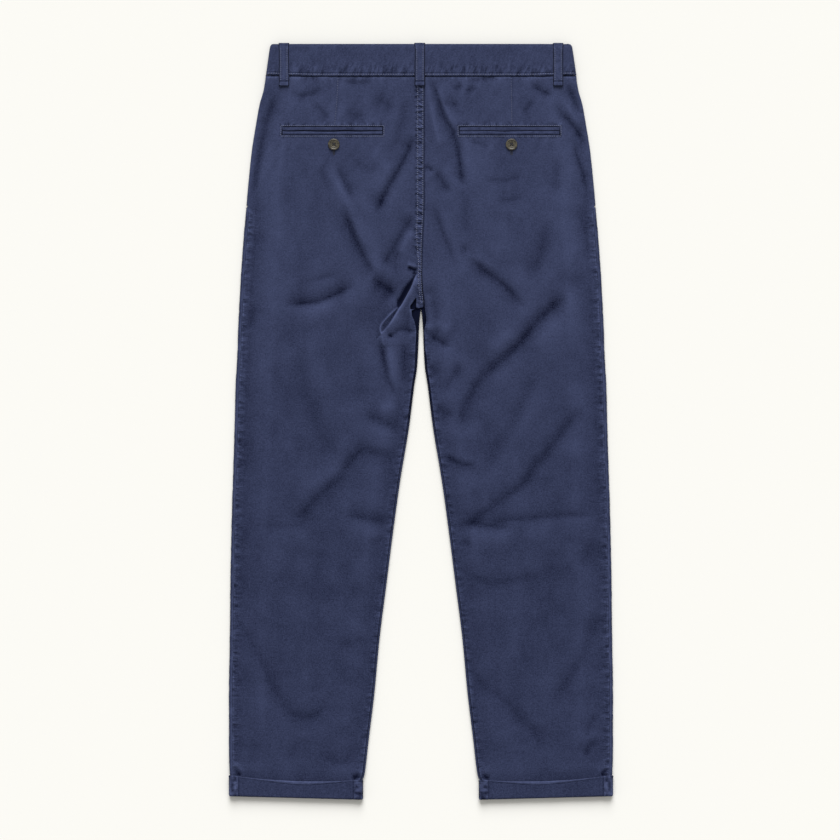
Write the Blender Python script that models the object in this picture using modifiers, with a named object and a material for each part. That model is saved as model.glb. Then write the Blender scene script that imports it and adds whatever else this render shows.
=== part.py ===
# Chino trousers lying flat with the back side up and the waist towards +Y.
# The cloth panels are thin walls: the front panels lie on the ground and curl over
# the leg edges, and the back panels lie on them, seam to seam.
# Sizes are in millimetres and are turned into metres when a vertex is placed.

import math

import bmesh
import bpy
from mathutils import Vector

MM = 0.001

# Overall sizes
WAIST_TO_HEM = 1006.5
LOOP_RISE = 1.2
CLOTH = 1.0
SEAM_GAP = 0.3

# Waistband and turn-ups are folded double
BAND_WALL = 1.6
BAND_HEIGHT = 41.0
BAND_HALF_TOP = 201.0
BAND_HALF_SEAM = 207.0
BAND_EDGE_TOP = 6.9
BAND_MIDDLE_TOP = 8.5
OVERLAP_END = 18.0
UNDERLAP_END = -25.0
UNDERLAP_STEP = 9.0
TURN_UP_WALL = 1.8

# Panels
PANEL_TOP = BAND_HEIGHT + SEAM_GAP
PANEL_END = 1003.0
BACK_COLUMNS = 16
SIDE_SEAM_INSET = 4.5
OUTER_RISE = 45.0
INNER_RISE = 32.0
SEAT_SEAM = 4.0
SEAT_SEAM_STRAIGHT = 250.0
SEAT_SEAM_CURVE = 60.0

# Section table: one row for each station down the garment.
#   down        distance below the waistband's top edge
#   half_width  centre line to the outer edge
#   half_gap    centre line to the inner edge of the leg
#   inset       inner edge to the back panel's inseam
#   curl        how far the front panel has turned up at the inner edge, 0 to 1
#   rest_edge   height of the underside at the leg's edges
#   rest_mid    height of the underside in the middle
#   top_edge    height of the upper side at the leg's edges
#   top_mid     height of the upper side in the middle
COLUMNS = ("down", "half_width", "half_gap", "inset", "curl",
           "rest_edge", "rest_mid", "top_edge", "top_mid")
SECTIONS = (
    (41.3, 207.0, 0.15, 0.0, 0.0, 2.9, 2.9, 6.5, 8.0),
    (60.0, 209.4, 0.15, 0.0, 0.0, 2.5, 2.8, 6.2, 7.9),
    (80.0, 215.0, 0.15, 0.0, 0.0, 1.6, 2.4, 5.6, 7.7),
    (110.0, 220.4, 0.15, 0.0, 0.0, 0.3, 1.9, 4.8, 7.4),
    (140.0, 225.2, 0.15, 0.0, 0.0, 0.0, 1.7, 4.6, 7.3),
    (175.0, 229.0, 0.15, 0.0, 0.0, 0.0, 1.6, 4.6, 7.2),
    (195.0, 230.9, 0.15, 0.0, 0.0, 0.0, 1.6, 4.6, 7.2),
    (215.0, 232.6, 0.15, 0.0, 0.0, 0.0, 1.5, 4.6, 7.1),
    (217.5, 232.8, 0.15, 0.0, 0.0, 0.0, 1.5, 4.6, 7.1),
    (260.0, 236.6, 0.15, 0.0, 0.0, 0.0, 1.4, 4.6, 7.0),
    (303.0, 239.6, 0.15, 0.0, 0.0, 0.0, 1.2, 4.6, 6.8),
    (330.0, 241.2, 0.2, 3.0, 0.4, 0.0, 1.0, 4.6, 6.7),
    (352.0, 242.3, 0.5, 5.2, 0.8, 0.0, 0.9, 4.6, 6.5),
    (375.0, 243.5, 2.2, 4.0, 1.0, 0.0, 0.7, 4.6, 6.3),
    (400.0, 244.2, 3.4, 3.4, 1.0, 0.0, 0.5, 4.6, 6.1),
    (428.0, 245.6, 5.0, 3.2, 1.0, 0.0, 0.3, 4.6, 5.9),
    (455.0, 247.0, 9.0, 3.2, 1.0, 0.0, 0.1, 4.6, 5.8),
    (508.0, 248.5, 15.6, 3.2, 1.0, 0.0, 0.0, 4.6, 5.7),
    (580.0, 250.6, 27.5, 3.2, 1.0, 0.0, 0.0, 4.6, 5.6),
    (650.0, 252.7, 37.2, 3.2, 1.0, 0.0, 0.0, 4.6, 5.6),
    (721.0, 254.1, 46.2, 3.2, 1.0, 0.0, 0.0, 4.6, 5.6),
    (792.0, 254.8, 55.2, 3.2, 1.0, 0.0, 0.0, 4.6, 5.6),
    (864.0, 255.9, 62.0, 3.2, 1.0, 0.0, 0.0, 4.6, 5.6),
    (930.0, 255.9, 70.0, 3.2, 1.0, 0.0, 0.0, 4.6, 5.6),
    (955.0, 255.0, 73.6, 3.2, 1.0, 0.9, 0.9, 5.1, 5.9),
    (968.0, 254.4, 76.2, 3.2, 1.0, 1.9, 1.9, 5.6, 5.8),
    (977.0, 253.5, 79.3, 3.2, 1.0, 2.1, 2.1, 5.5, 5.5),
    (1003.0, 253.5, 79.3, 3.2, 1.0, 2.1, 2.1, 5.5, 5.5),
)

# Largest folds of the back: x and down of the start, x and down of the end,
# half width and height.
FOLDS = (
    (-114.0, 161.0, -35.0, 328.0, 20.0, -0.9),
    (-191.0, 64.0, -225.0, 208.0, 12.0, 0.5),
    (-41.0, 528.0, -168.0, 635.0, 18.0, -0.7),
    (-175.0, 637.0, -41.0, 637.0, 14.0, -0.5),
    (-235.0, 801.0, -135.0, 888.0, 18.0, -0.5),
    (5.0, 55.0, 41.0, 195.0, 16.0, 0.4),
    (19.0, 68.0, 79.0, 295.0, 16.0, -0.6),
    (199.0, 335.0, 59.0, 475.0, 20.0, -0.8),
    (179.0, 475.0, 44.0, 640.0, 20.0, -0.7),
    (59.0, 637.0, 205.0, 645.0, 14.0, -0.5),
    (239.0, 775.0, 172.0, 888.0, 18.0, -0.6),
)

# Side pockets in the front panels
MOUTH_END = 215.0
MOUTH_WIDTH_AT_WAIST = 50.0
MOUTH_OVERLAP = 15.0
OVERLAP_START = 17.0
OVERLAP_GROWTH = 0.8
LIFTED_FROM = 15.0
EDGE_CLEARANCE = 1.7 * SEAM_GAP
LEAST_COLUMN = 0.5

# Turn-ups: the hem runs down towards the inseam
TURN_UP_OUTER = 256.0
TURN_UP_INNER = 77.0
TURN_UP_TOP = 7.6
HEM_TILT = 4.7
TILT_START = 880.0
TILT_RUN = 95.0
TURN_UP_EDGE = (980.5, 13.7, -19.8)

# Welt pockets
WELT_X = (-187.5, -48.5)
WELT_TOP_DOWN = 109.0
WELT_UPPER = 7.0
WELT_MOUTH = 1.2
WELT_LOWER = 4.6
WELT_WALL = 1.0
WELT_COLUMNS = 6

# Belt loops
LOOP_WIDTH = 12.5
LOOP_LENGTH = 57.5
LOOP_WALL = 1.2
LOOP_X_BACK = {"left": -182.5, "centre": -1.5, "right": 182.5}
LOOP_X_FRONT = {"front_left": -110.0, "front_right": 110.0}

# Buttons
BUTTON_RADIUS = 7.8
BUTTON_THICK = 2.5
BUTTON_DISH = 0.8
BUTTON_RIM = 2.0
BUTTON_HOLE_RADIUS = 0.9
BUTTON_HOLE_OFFSET = 1.9
DRILL_SIDES = 8
TURNING_STEPS = 20
MERGE_DISTANCE = 0.01
POCKET_BUTTON_X = (-116.0, 120.5)
POCKET_BUTTON_DOWN = 134.0
WAIST_BUTTON_X = 6.0

# Fly shield
FLY_WIDTH = 46.0
FLY_LENGTH = 185.0
FLY_OVERHANG = 10.0
FLY_COLUMNS = 4
FLY_TAPER = 0.25
FLY_TAPER_START = 150.0
FLY_TAPER_RUN = 80.0

NAVY = (0.034, 0.042, 0.092, 1.0)
NAVY_DARK = (0.028, 0.034, 0.075, 1.0)
HORN = (0.155, 0.125, 0.085, 1.0)


def clear_scene():
    for thing in list(bpy.data.objects):
        bpy.data.objects.remove(thing, do_unlink=True)


def new_collection(name):
    group = bpy.data.collections.new(name)
    bpy.context.scene.collection.children.link(group)
    return group


def principled(name, colour, roughness):
    material = bpy.data.materials.new(name)
    material.use_nodes = True
    shader = material.node_tree.nodes["Principled BSDF"]
    shader.inputs["Base Color"].default_value = colour
    shader.inputs["Roughness"].default_value = roughness
    shader.inputs["Metallic"].default_value = 0.0
    material.diffuse_color = colour
    return material


def point(x, down, height):
    y = (WAIST_TO_HEM + LOOP_RISE) / 2.0 - LOOP_RISE - down
    return Vector((x, y, height)) * MM


def smooth(value):
    value = min(max(value, 0.0), 1.0)
    return value * value * (3.0 - 2.0 * value)


def slope_at(table, column, index):
    """Slope through a table row that never overshoots its neighbours."""
    if index in (0, len(table) - 1):
        return 0.0
    before, here, after = table[index - 1], table[index], table[index + 1]
    left = (here[column] - before[column]) / (here[0] - before[0])
    right = (after[column] - here[column]) / (after[0] - here[0])
    if left * right <= 0.0:
        return 0.0
    return 2.0 * left * right / (left + right)


def section(name, down):
    """Value of a section column at a distance down the garment."""
    column = COLUMNS.index(name)
    if down <= SECTIONS[0][0]:
        return SECTIONS[0][column]
    for index in range(len(SECTIONS) - 1):
        first, second = SECTIONS[index], SECTIONS[index + 1]
        if down <= second[0]:
            span = second[0] - first[0]
            t = (down - first[0]) / span
            start = slope_at(SECTIONS, column, index) * span
            end = slope_at(SECTIONS, column, index + 1) * span
            rest = 1.0 - t
            return (first[column] * rest * rest * (1.0 + 2.0 * t) + start * t * rest * rest
                    + second[column] * t * t * (3.0 - 2.0 * t) - end * t * t * rest)
    return SECTIONS[-1][column]


def fold_height(x, down):
    """Sum of the large folds at a place on the back."""
    total = 0.0
    for x_start, down_start, x_end, down_end, half_width, height in FOLDS:
        along_x, along_down = x_end - x_start, down_end - down_start
        length = math.hypot(along_x, along_down)
        t = ((x - x_start) * along_x + (down - down_start) * along_down) / length ** 2
        t = min(max(t, 0.0), 1.0)
        away = math.hypot(x - x_start - t * along_x, down - down_start - t * along_down)
        total += height * math.exp(-((away / half_width) ** 2))
    return total


def edge_fade(x, down):
    """0 at the leg's edges and 1 in its middle; the seat has no inner edge."""
    across = abs(x)
    outer = smooth((section("half_width", down) - SIDE_SEAM_INSET - across) / OUTER_RISE)
    inner = smooth((across - section("half_gap", down) - section("inset", down)) / INNER_RISE)
    return outer * (1.0 - (1.0 - inner) * section("curl", down))


def top_height(x, down):
    edge, middle = section("top_edge", down), section("top_mid", down)
    fade = edge_fade(x, down)
    return edge + (middle - edge + fold_height(x, down)) * fade


def rest_height(x, down):
    edge, middle = section("rest_edge", down), section("rest_mid", down)
    return edge + (middle - edge) * edge_fade(x, down)


def hem_slant(across, down):
    """How much higher a row lies towards the outer edge, near the hem."""
    share = (across - TURN_UP_INNER) / (TURN_UP_OUTER - TURN_UP_INNER)
    return -HEM_TILT * share * smooth((down - TILT_START) / TILT_RUN)


def wall(name, columns, rows, place, thickness, material, group, flip=False):
    """Closed cloth wall: a grid placed by a function, thickened inwards."""
    bm = bmesh.new()
    bmesh.ops.create_grid(bm, x_segments=columns, y_segments=rows, size=1.0)
    for vertex in bm.verts:
        i = round((vertex.co.x + 1.0) / 2.0 * columns)
        j = round((vertex.co.y + 1.0) / 2.0 * rows)
        vertex.co = place(i, j)
    bmesh.ops.remove_doubles(bm, verts=bm.verts, dist=0.001 * MM)
    if flip:
        bmesh.ops.reverse_faces(bm, faces=bm.faces)
    mesh = bpy.data.meshes.new(name)
    bm.to_mesh(mesh)
    bm.free()
    mesh.materials.append(material)
    thing = bpy.data.objects.new(name, mesh)
    group.objects.link(thing)
    solid = thing.modifiers.new("Thickness", "SOLIDIFY")
    solid.thickness = thickness * MM
    solid.offset = -1.0
    solid.use_even_offset = True
    solid.use_quality_normals = True
    return thing


def rows_between(first, last):
    return [row[0] for row in SECTIONS if first <= row[0] <= last]


def back_panel(name, side, material, group):
    """One back panel, from the seat seam or inseam to the side seam."""
    downs = rows_between(PANEL_TOP, PANEL_END)
    columns = BACK_COLUMNS

    def place(i, j):
        down = downs[j]
        inner = section("half_gap", down) + section("inset", down)
        lean = side * SEAT_SEAM * (1.0 - smooth((down - SEAT_SEAM_STRAIGHT) / SEAT_SEAM_CURVE))
        outer = section("half_width", down) - SIDE_SEAM_INSET - SEAM_GAP
        across = inner + lean + (outer - inner - lean) * i / columns
        height = top_height(side * across, down)
        return point(side * across, down + hem_slant(across, down), height)

    return wall(name, columns, len(downs) - 1, place, CLOTH, material, group, flip=side > 0)


def outer_point(down, from_seam):
    """Point of a leg's section, measured from the side seam round the edge."""
    rest, top = section("rest_edge", down), section("top_edge", down)
    radius = (top - rest) / 2.0
    centre = section("half_width", down) - radius
    lid = SIDE_SEAM_INSET - radius
    arc = math.pi * radius
    if from_seam <= lid:
        return centre - lid + from_seam, top
    if from_seam <= lid + arc:
        turn = (from_seam - lid) / radius
        return centre + radius * math.sin(turn), rest + radius * (1.0 + math.cos(turn))
    across = centre - (from_seam - lid - arc)
    return across, rest_height(across, down)


def inner_strip(down, share):
    """Point of the inner edge strip of a front panel: flat above the crotch,
    turned up over the inseam below it. share runs from the free end, 0, to 1."""
    top, rest = section("top_edge", down), section("rest_edge", down)
    length = math.pi * (top - rest) / 2.0
    turn = max(math.pi * section("curl", down), 0.02)
    radius = length / turn
    reach = radius * math.sin(min(turn, math.pi / 2.0))
    start = section("half_gap", down) + reach
    angle = turn * (1.0 - share)
    across = start - radius * math.sin(angle)
    return across, rest_height(start, down) + radius * (1.0 - math.cos(angle)), start


def curl_run(down):
    """Length of cloth from the side seam round the edge to the ground."""
    radius = (section("top_edge", down) - section("rest_edge", down)) / 2.0
    return SIDE_SEAM_INSET - radius + math.pi * radius


def mouth_inset(down):
    """How far short of the side seam the front panel stops, at the side pocket."""
    if down > MOUTH_END:
        return 0.0
    share = (MOUTH_END - down) / (MOUTH_END - PANEL_TOP)
    return curl_run(down) + share * MOUTH_WIDTH_AT_WAIST


def front_panel(name, side, material, group):
    """One front panel: inner strip, ground run, outer curl up to the side seam."""
    downs = rows_between(PANEL_TOP, PANEL_END)
    strip, ground, curl = 3, 5, 5
    columns = strip + ground + curl

    def place(i, j):
        down = downs[j]
        radius = (section("top_edge", down) - section("rest_edge", down)) / 2.0
        lid = SIDE_SEAM_INSET - radius
        curl_length = curl_run(down)
        outer_run = section("half_width", down) - radius
        if i < strip:
            across, height, _ = inner_strip(down, i / strip)
            return point(side * across, down + hem_slant(across, down), height)
        start = inner_strip(down, 1.0)[2]
        from_end = columns - i
        if from_end > curl:
            share = (from_end - curl) / ground
            from_seam = curl_length + (outer_run - start) * share ** 1.3
        else:
            from_seam = (0.0, lid, lid + 0.25 * math.pi * radius, lid + 0.5 * math.pi * radius,
                         lid + 0.75 * math.pi * radius, curl_length)[from_end]
        from_seam = max(from_seam, mouth_inset(down) + 0.5 * from_end)
        across, height = outer_point(down, from_seam)
        return point(side * across, down + hem_slant(across, down), height)

    return wall(name, columns, len(downs) - 1, place, CLOTH, material, group, flip=side < 0)


def pocket_facing(name, side, material, group):
    """Cloth seen in a side pocket's mouth, from under the front panel to the seam."""
    downs = rows_between(PANEL_TOP, MOUTH_END)
    columns = 9

    def place(i, j):
        down = downs[j]
        mouth = mouth_inset(down)
        lap = max((mouth - OVERLAP_START) * OVERLAP_GROWTH, -EDGE_CLEARANCE)
        lap = min(lap, MOUTH_OVERLAP)
        curl_length = curl_run(down)
        last = mouth + lap
        ground = (max(mouth - 9.0, curl_length + 1.0), max(mouth - 1.5, curl_length + 2.0),
                  max(mouth + 6.0, curl_length + 3.0), last)
        full = curl_length * i / 5.0 if i <= 5 else ground[i - 6]
        from_seam = max(min(full, last - LEAST_COLUMN * (columns - i)), SEAM_GAP * i / 2.0)
        across, height = outer_point(down, from_seam)
        if i > 6 and mouth > LIFTED_FROM:
            height += CLOTH + SEAM_GAP
        return point(side * across, down, height)

    return wall(name, columns, len(downs) - 1, place, CLOTH, material, group, flip=side > 0)


def band_half(down):
    return BAND_HALF_TOP + (BAND_HALF_SEAM - BAND_HALF_TOP) * down / BAND_HEIGHT


def band_top(x):
    reach = smooth((BAND_HALF_TOP - abs(x)) / OUTER_RISE)
    return BAND_EDGE_TOP + (BAND_MIDDLE_TOP - BAND_EDGE_TOP) * reach


def waistband(material, group):
    """One strip once round the waist, its right end tucked inside the left end."""
    rest = SECTIONS[0][COLUMNS.index("rest_edge")]
    radius = (BAND_EDGE_TOP - rest) / 2.0
    step = BAND_WALL + SEAM_GAP
    runs = []
    for x in (OVERLAP_END, -20.0, -60.0, -110.0, -155.0):
        runs.append(("ground", x, 0.0))
    for quarter in range(5):
        runs.append(("left", 0.0, math.pi * quarter / 4.0))
    for x in (-175.0, -150.0, -120.0, -75.0, -30.0, 30.0, 75.0, 120.0, 150.0, 175.0):
        runs.append(("top", x, 0.0))
    for quarter in range(5):
        runs.append(("right", 0.0, math.pi * quarter / 4.0))
    for x in (155.0, 110.0, 60.0, OVERLAP_END + UNDERLAP_STEP):
        runs.append(("ground", x, 0.0))
    for x in (OVERLAP_END + 2.0, UNDERLAP_END):
        runs.append(("tuck", x, step))
    downs = (0.0, BAND_HEIGHT / 2.0, BAND_HEIGHT)

    def place(i, j):
        kind, x, extra = runs[i]
        down = downs[j]
        edge = band_half(down) - radius
        if kind == "left":
            return point(-edge - radius * math.sin(extra), down,
                         rest + radius * (1.0 - math.cos(extra)))
        if kind == "right":
            return point(edge + radius * math.sin(extra), down,
                         rest + radius * (1.0 + math.cos(extra)))
        if kind == "top":
            return point(x, down, band_top(x))
        return point(x, down, rest + extra)

    columns, rows = len(runs) - 1, len(downs) - 1
    return wall("waistband", columns, rows, place, BAND_WALL, material, group, flip=True)


def fly_shield(material, group):
    """Plain strip behind the front opening, lying on the front panels."""
    downs = rows_between(PANEL_TOP, PANEL_TOP + FLY_LENGTH)
    columns = FLY_COLUMNS

    def place(i, j):
        down = downs[j]
        share = i / columns
        x = -FLY_OVERHANG + FLY_WIDTH * share
        x *= 1.0 - FLY_TAPER * smooth((down - FLY_TAPER_START) / FLY_TAPER_RUN) * share
        return point(x, down, rest_height(x, down) + CLOTH + SEAM_GAP)

    return wall("fly_shield", columns, len(downs) - 1, place, CLOTH, material, group)


def turn_up(name, side, material, group):
    """Turn-up: a flattened ring round the end of the leg."""
    radius = TURN_UP_TOP / 2.0
    flat = TURN_UP_OUTER - TURN_UP_INNER - 2.0 * radius
    start, linear, square = TURN_UP_EDGE
    inner, outer = TURN_UP_INNER + radius, TURN_UP_OUTER - radius
    runs = []
    for sixth in range(7):
        turn = math.pi * sixth / 6.0
        runs.append((outer + radius * math.sin(turn), radius * (1.0 + math.cos(turn))))
    for share in (0.75, 0.5, 0.25):
        runs.append((inner + flat * share, 0.0))
    for sixth in range(7):
        turn = math.pi * sixth / 6.0
        runs.append((inner - radius * math.sin(turn), radius * (1.0 - math.cos(turn))))
    for share in (0.25, 0.5, 0.75):
        runs.append((inner + flat * share, TURN_UP_TOP))
    runs.append(runs[0])
    rows = 3

    def place(i, j):
        across, height = runs[i]
        share = (across - TURN_UP_INNER) / (TURN_UP_OUTER - TURN_UP_INNER)
        upper = start + linear * share + square * share ** 2
        lower = WAIST_TO_HEM - HEM_TILT * share
        return point(side * across, upper + (lower - upper) * j / rows, height)

    return wall(name, len(runs) - 1, rows, place, TURN_UP_WALL, material, group, flip=side > 0)


def welt(name, side, top, drop, material, group):
    """One lip of a welt pocket, lying on the back panel."""
    columns = WELT_COLUMNS

    def place(i, j):
        first, last = WELT_X
        across = -last + (last - first) * i / columns
        down = top + drop * j
        height = top_height(side * across, down) + SEAM_GAP + WELT_WALL
        return point(side * across, down, height)

    return wall(name, columns, 1, place, WELT_WALL, material, group, flip=side < 0)


def belt_loop(name, x, face_down, material, group):
    """Belt loop: a flat strip from the waistband's top edge to below its seam."""
    path = (-LOOP_RISE, 3.0, 14.0, 28.0, 38.0, 44.0, LOOP_LENGTH - LOOP_RISE)

    def place(i, j):
        down = path[j]
        across = x + LOOP_WIDTH * (i - 0.5)
        if face_down:
            rest = min(section("rest_edge", down), section("rest_mid", down))
            height = rest - SEAM_GAP - LOOP_WALL
        else:
            height = max(band_top(across), top_height(across, PANEL_TOP)) + SEAM_GAP + LOOP_WALL
        return point(across, down, height)

    return wall(name, 1, len(path) - 1, place, LOOP_WALL, material, group, flip=not face_down)


def button(name, x, down, height, face, material, group, cutters):
    """Round four-hole button: a turned profile with a raised rim, bored through."""
    thick, dish = BUTTON_THICK * MM, BUTTON_DISH * MM
    radius, rim = BUTTON_RADIUS * MM, BUTTON_RIM * MM
    outline = ((0.0, 0.0), (radius * 0.8, 0.0), (radius, thick * 0.35),
               (radius * 0.97, thick * 0.8), (radius - rim * 0.5, thick),
               (radius - rim, thick - dish), (0.0, thick - dish))
    mesh = bpy.data.meshes.new(name)
    corners = [(r, 0.0, z) for r, z in outline]
    mesh.from_pydata(corners, [(n, n + 1) for n in range(len(corners) - 1)], [])
    mesh.materials.append(material)
    thing = bpy.data.objects.new(name, mesh)
    group.objects.link(thing)
    spin = thing.modifiers.new("Turned", "SCREW")
    spin.angle = math.tau
    spin.steps = TURNING_STEPS
    spin.render_steps = TURNING_STEPS
    spin.use_merge_vertices = True
    spin.merge_threshold = MERGE_DISTANCE * MM
    spin.use_normal_calculate = True
    drills = bpy.data.meshes.new(name + "_drills")
    bm = bmesh.new()
    for quarter in range(4):
        angle = math.pi / 4.0 + math.pi / 2.0 * quarter
        bore, offset = BUTTON_HOLE_RADIUS * MM, BUTTON_HOLE_OFFSET * MM
        made = bmesh.ops.create_cone(bm, cap_ends=True, segments=DRILL_SIDES, depth=4.0 * thick,
                                     radius1=bore, radius2=bore)
        bmesh.ops.translate(bm, verts=made["verts"],
                            vec=(offset * math.cos(angle), offset * math.sin(angle), 0.0))
    bm.to_mesh(drills)
    bm.free()
    cutter = bpy.data.objects.new(name + "_drills", drills)
    cutters.objects.link(cutter)
    cutter.hide_render = True
    cutter.display_type = "WIRE"
    cutter.parent = thing
    holes = thing.modifiers.new("Holes", "BOOLEAN")
    holes.operation = "DIFFERENCE"
    holes.object = cutter
    thing.location = point(x, down, height)
    if face < 0:
        thing.rotation_euler = (math.pi, 0.0, 0.0)
    return thing


clear_scene()
garment = new_collection("chino_trousers")
cutters = new_collection("cutters")
twill = principled("navy_twill", NAVY, 0.9)
twill_inside = principled("navy_twill_inside", NAVY_DARK, 0.95)
horn = principled("horn_button", HORN, 0.45)

for word, side in (("left", -1), ("right", 1)):
    front_panel("front_panel_" + word, side, twill, garment)
    pocket_facing("pocket_facing_" + word, side, twill_inside, garment)
    back_panel("back_panel_" + word, side, twill, garment)
    turn_up("turn_up_" + word, side, twill, garment)
    welt("welt_upper_" + word, side, WELT_TOP_DOWN, WELT_UPPER, twill, garment)
    lower_top = WELT_TOP_DOWN + WELT_UPPER + WELT_MOUTH
    welt("welt_lower_" + word, side, lower_top, WELT_LOWER, twill, garment)

fly_shield(twill_inside, garment)
waistband(twill, garment)
for word, x in LOOP_X_BACK.items():
    belt_loop("belt_loop_" + word, x, False, twill, garment)
for word, x in LOOP_X_FRONT.items():
    belt_loop("belt_loop_" + word, x, True, twill, garment)

for word, x in zip(("left", "right"), POCKET_BUTTON_X):
    across = (x - BUTTON_RADIUS, x, x + BUTTON_RADIUS)
    height = SEAM_GAP + max(top_height(place, POCKET_BUTTON_DOWN) for place in across)
    button("pocket_button_" + word, x, POCKET_BUTTON_DOWN, height, 1, horn, garment, cutters)
height = SECTIONS[0][COLUMNS.index("rest_edge")] - SEAM_GAP
button("waist_button", WAIST_BUTTON_X, BAND_HEIGHT / 2.0, height, -1, horn, garment, cutters)
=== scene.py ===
import math

import bmesh
import bpy
import numpy as np
from mathutils import Matrix, Vector


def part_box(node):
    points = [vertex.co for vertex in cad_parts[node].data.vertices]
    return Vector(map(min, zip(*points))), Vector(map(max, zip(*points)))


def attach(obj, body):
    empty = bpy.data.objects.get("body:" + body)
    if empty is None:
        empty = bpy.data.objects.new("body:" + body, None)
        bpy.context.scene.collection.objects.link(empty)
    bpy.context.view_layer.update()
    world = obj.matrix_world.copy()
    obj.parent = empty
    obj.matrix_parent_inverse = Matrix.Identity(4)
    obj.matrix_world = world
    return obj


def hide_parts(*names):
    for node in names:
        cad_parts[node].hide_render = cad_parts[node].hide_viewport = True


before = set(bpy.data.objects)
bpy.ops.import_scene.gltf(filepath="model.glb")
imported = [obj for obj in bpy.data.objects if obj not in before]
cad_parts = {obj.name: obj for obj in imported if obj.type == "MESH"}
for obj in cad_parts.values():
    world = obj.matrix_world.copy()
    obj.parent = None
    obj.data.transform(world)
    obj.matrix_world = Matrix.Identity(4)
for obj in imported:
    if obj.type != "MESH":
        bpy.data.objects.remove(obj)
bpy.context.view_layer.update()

# Camera and studio. The garment lies on a pale table top and is looked at from
# straight above, with a long lens, under a wide soft light at the waist end.

MM = 0.001
VIEW_WIDTH = 1.120
CAMERA_HEIGHT = 5.0
CAMERA_SIDE = -1.3 * MM
CAMERA_UP = 2.0 * MM

camera_data = bpy.data.cameras.new("camera")
camera_data.sensor_width = 36.0
camera_data.lens = camera_data.sensor_width * CAMERA_HEIGHT / VIEW_WIDTH
camera_data.clip_end = 50.0
camera = bpy.data.objects.new("camera", camera_data)
camera.location = (CAMERA_SIDE, CAMERA_UP, CAMERA_HEIGHT)
bpy.context.scene.collection.objects.link(camera)
bpy.context.scene.camera = camera
bpy.context.scene.view_settings.view_transform = "Standard"

FLOOR_SIZE = 12.0
bm = bmesh.new()
bmesh.ops.create_grid(bm, x_segments=1, y_segments=1, size=FLOOR_SIZE / 2.0)
floor_mesh = bpy.data.meshes.new("floor")
bm.to_mesh(floor_mesh)
bm.free()
floor = bpy.data.objects.new("floor", floor_mesh)
bpy.context.scene.collection.objects.link(floor)
paper = bpy.data.materials.new("pale_table_top")
paper.use_nodes = True
paper_shader = paper.node_tree.nodes["Principled BSDF"]
paper_shader.inputs["Base Color"].default_value = (0.90, 0.893, 0.862, 1.0)
paper_shader.inputs["Roughness"].default_value = 0.95
paper_shader.inputs["Specular IOR Level"].default_value = 0.1
floor_mesh.materials.append(paper)

world = bpy.data.worlds.new("studio")
world.use_nodes = True
sky = world.node_tree.nodes["Background"]
sky.inputs["Color"].default_value = (1.0, 0.992, 0.955, 1.0)
rays = world.node_tree.nodes.new("ShaderNodeLightPath")
seen = world.node_tree.nodes.new("ShaderNodeMapRange")
seen.inputs["To Min"].default_value = 0.46
seen.inputs["To Max"].default_value = 0.96
world.node_tree.links.new(rays.outputs["Is Camera Ray"], seen.inputs["Value"])
world.node_tree.links.new(seen.outputs["Result"], sky.inputs["Strength"])
bpy.context.scene.world = world

KEY_RISE = math.radians(34.0)
key_data = bpy.data.lights.new("key_waist_end", "SUN")
key_data.angle = math.radians(42.0)
key_data.energy = 3.50
key = bpy.data.objects.new("key_waist_end", key_data)
key_from = Vector((0.0, math.cos(KEY_RISE), math.sin(KEY_RISE)))
key.rotation_euler = key_from.to_track_quat("Z", "Y").to_euler()
bpy.context.scene.collection.objects.link(key)

# Cotton twill. The cloth is a garment-dyed navy: the diagonal rib and the fibre
# fuzz are fine, and the dye is faded paler on seam edges and raised puckers.
# The per-point value that mixes the deep and pale dye colours also carries
# painted light and shade: paler crests, darker creases and hollows, painted
# shadow lines, and near-black painted shade where it falls below zero.

# Deep and pale ends of the dye mix; the pale end stands for faded dye and for painted highlight alike.
NAVY_DEEP = (0.0085, 0.0120, 0.0360, 1.0)
NAVY_PALE = (0.0720, 0.0900, 0.1900, 1.0)
RIB_PITCH = 0.9 * MM
RIB_LEAN = math.radians(62.0)
WAVE_PERIOD = math.tau / 20.0
SHADE_FLOOR = -0.13


def link(tree, source, output, target, name):
    tree.links.new(source.outputs[output], target.inputs[name])


def speckle(tree, place, scale, detail, stretch=None, lean=0.0):
    """Noise over the cloth's own coordinates, stretched along one way if asked."""
    node = tree.nodes.new("ShaderNodeTexNoise")
    node.inputs["Scale"].default_value = scale
    node.inputs["Detail"].default_value = detail
    if stretch is None:
        tree.links.new(place, node.inputs["Vector"])
        return node.outputs["Fac"]
    turned = tree.nodes.new("ShaderNodeMapping")
    turned.inputs["Scale"].default_value = (*stretch, 1.0)
    turned.inputs["Rotation"].default_value = (0.0, 0.0, lean)
    tree.links.new(place, turned.inputs["Vector"])
    tree.links.new(turned.outputs["Vector"], node.inputs["Vector"])
    return node.outputs["Fac"]


def weigh(tree, value, weight, rest=0.0):
    """value * weight + rest, where weight and rest are numbers or sockets."""
    node = tree.nodes.new("ShaderNodeMath")
    node.operation = "MULTIPLY_ADD"
    tree.links.new(value, node.inputs[0])
    for socket, amount in ((node.inputs[1], weight), (node.inputs[2], rest)):
        if isinstance(amount, float):
            socket.default_value = amount
        else:
            tree.links.new(amount, socket)
    return node.outputs[0]


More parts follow.
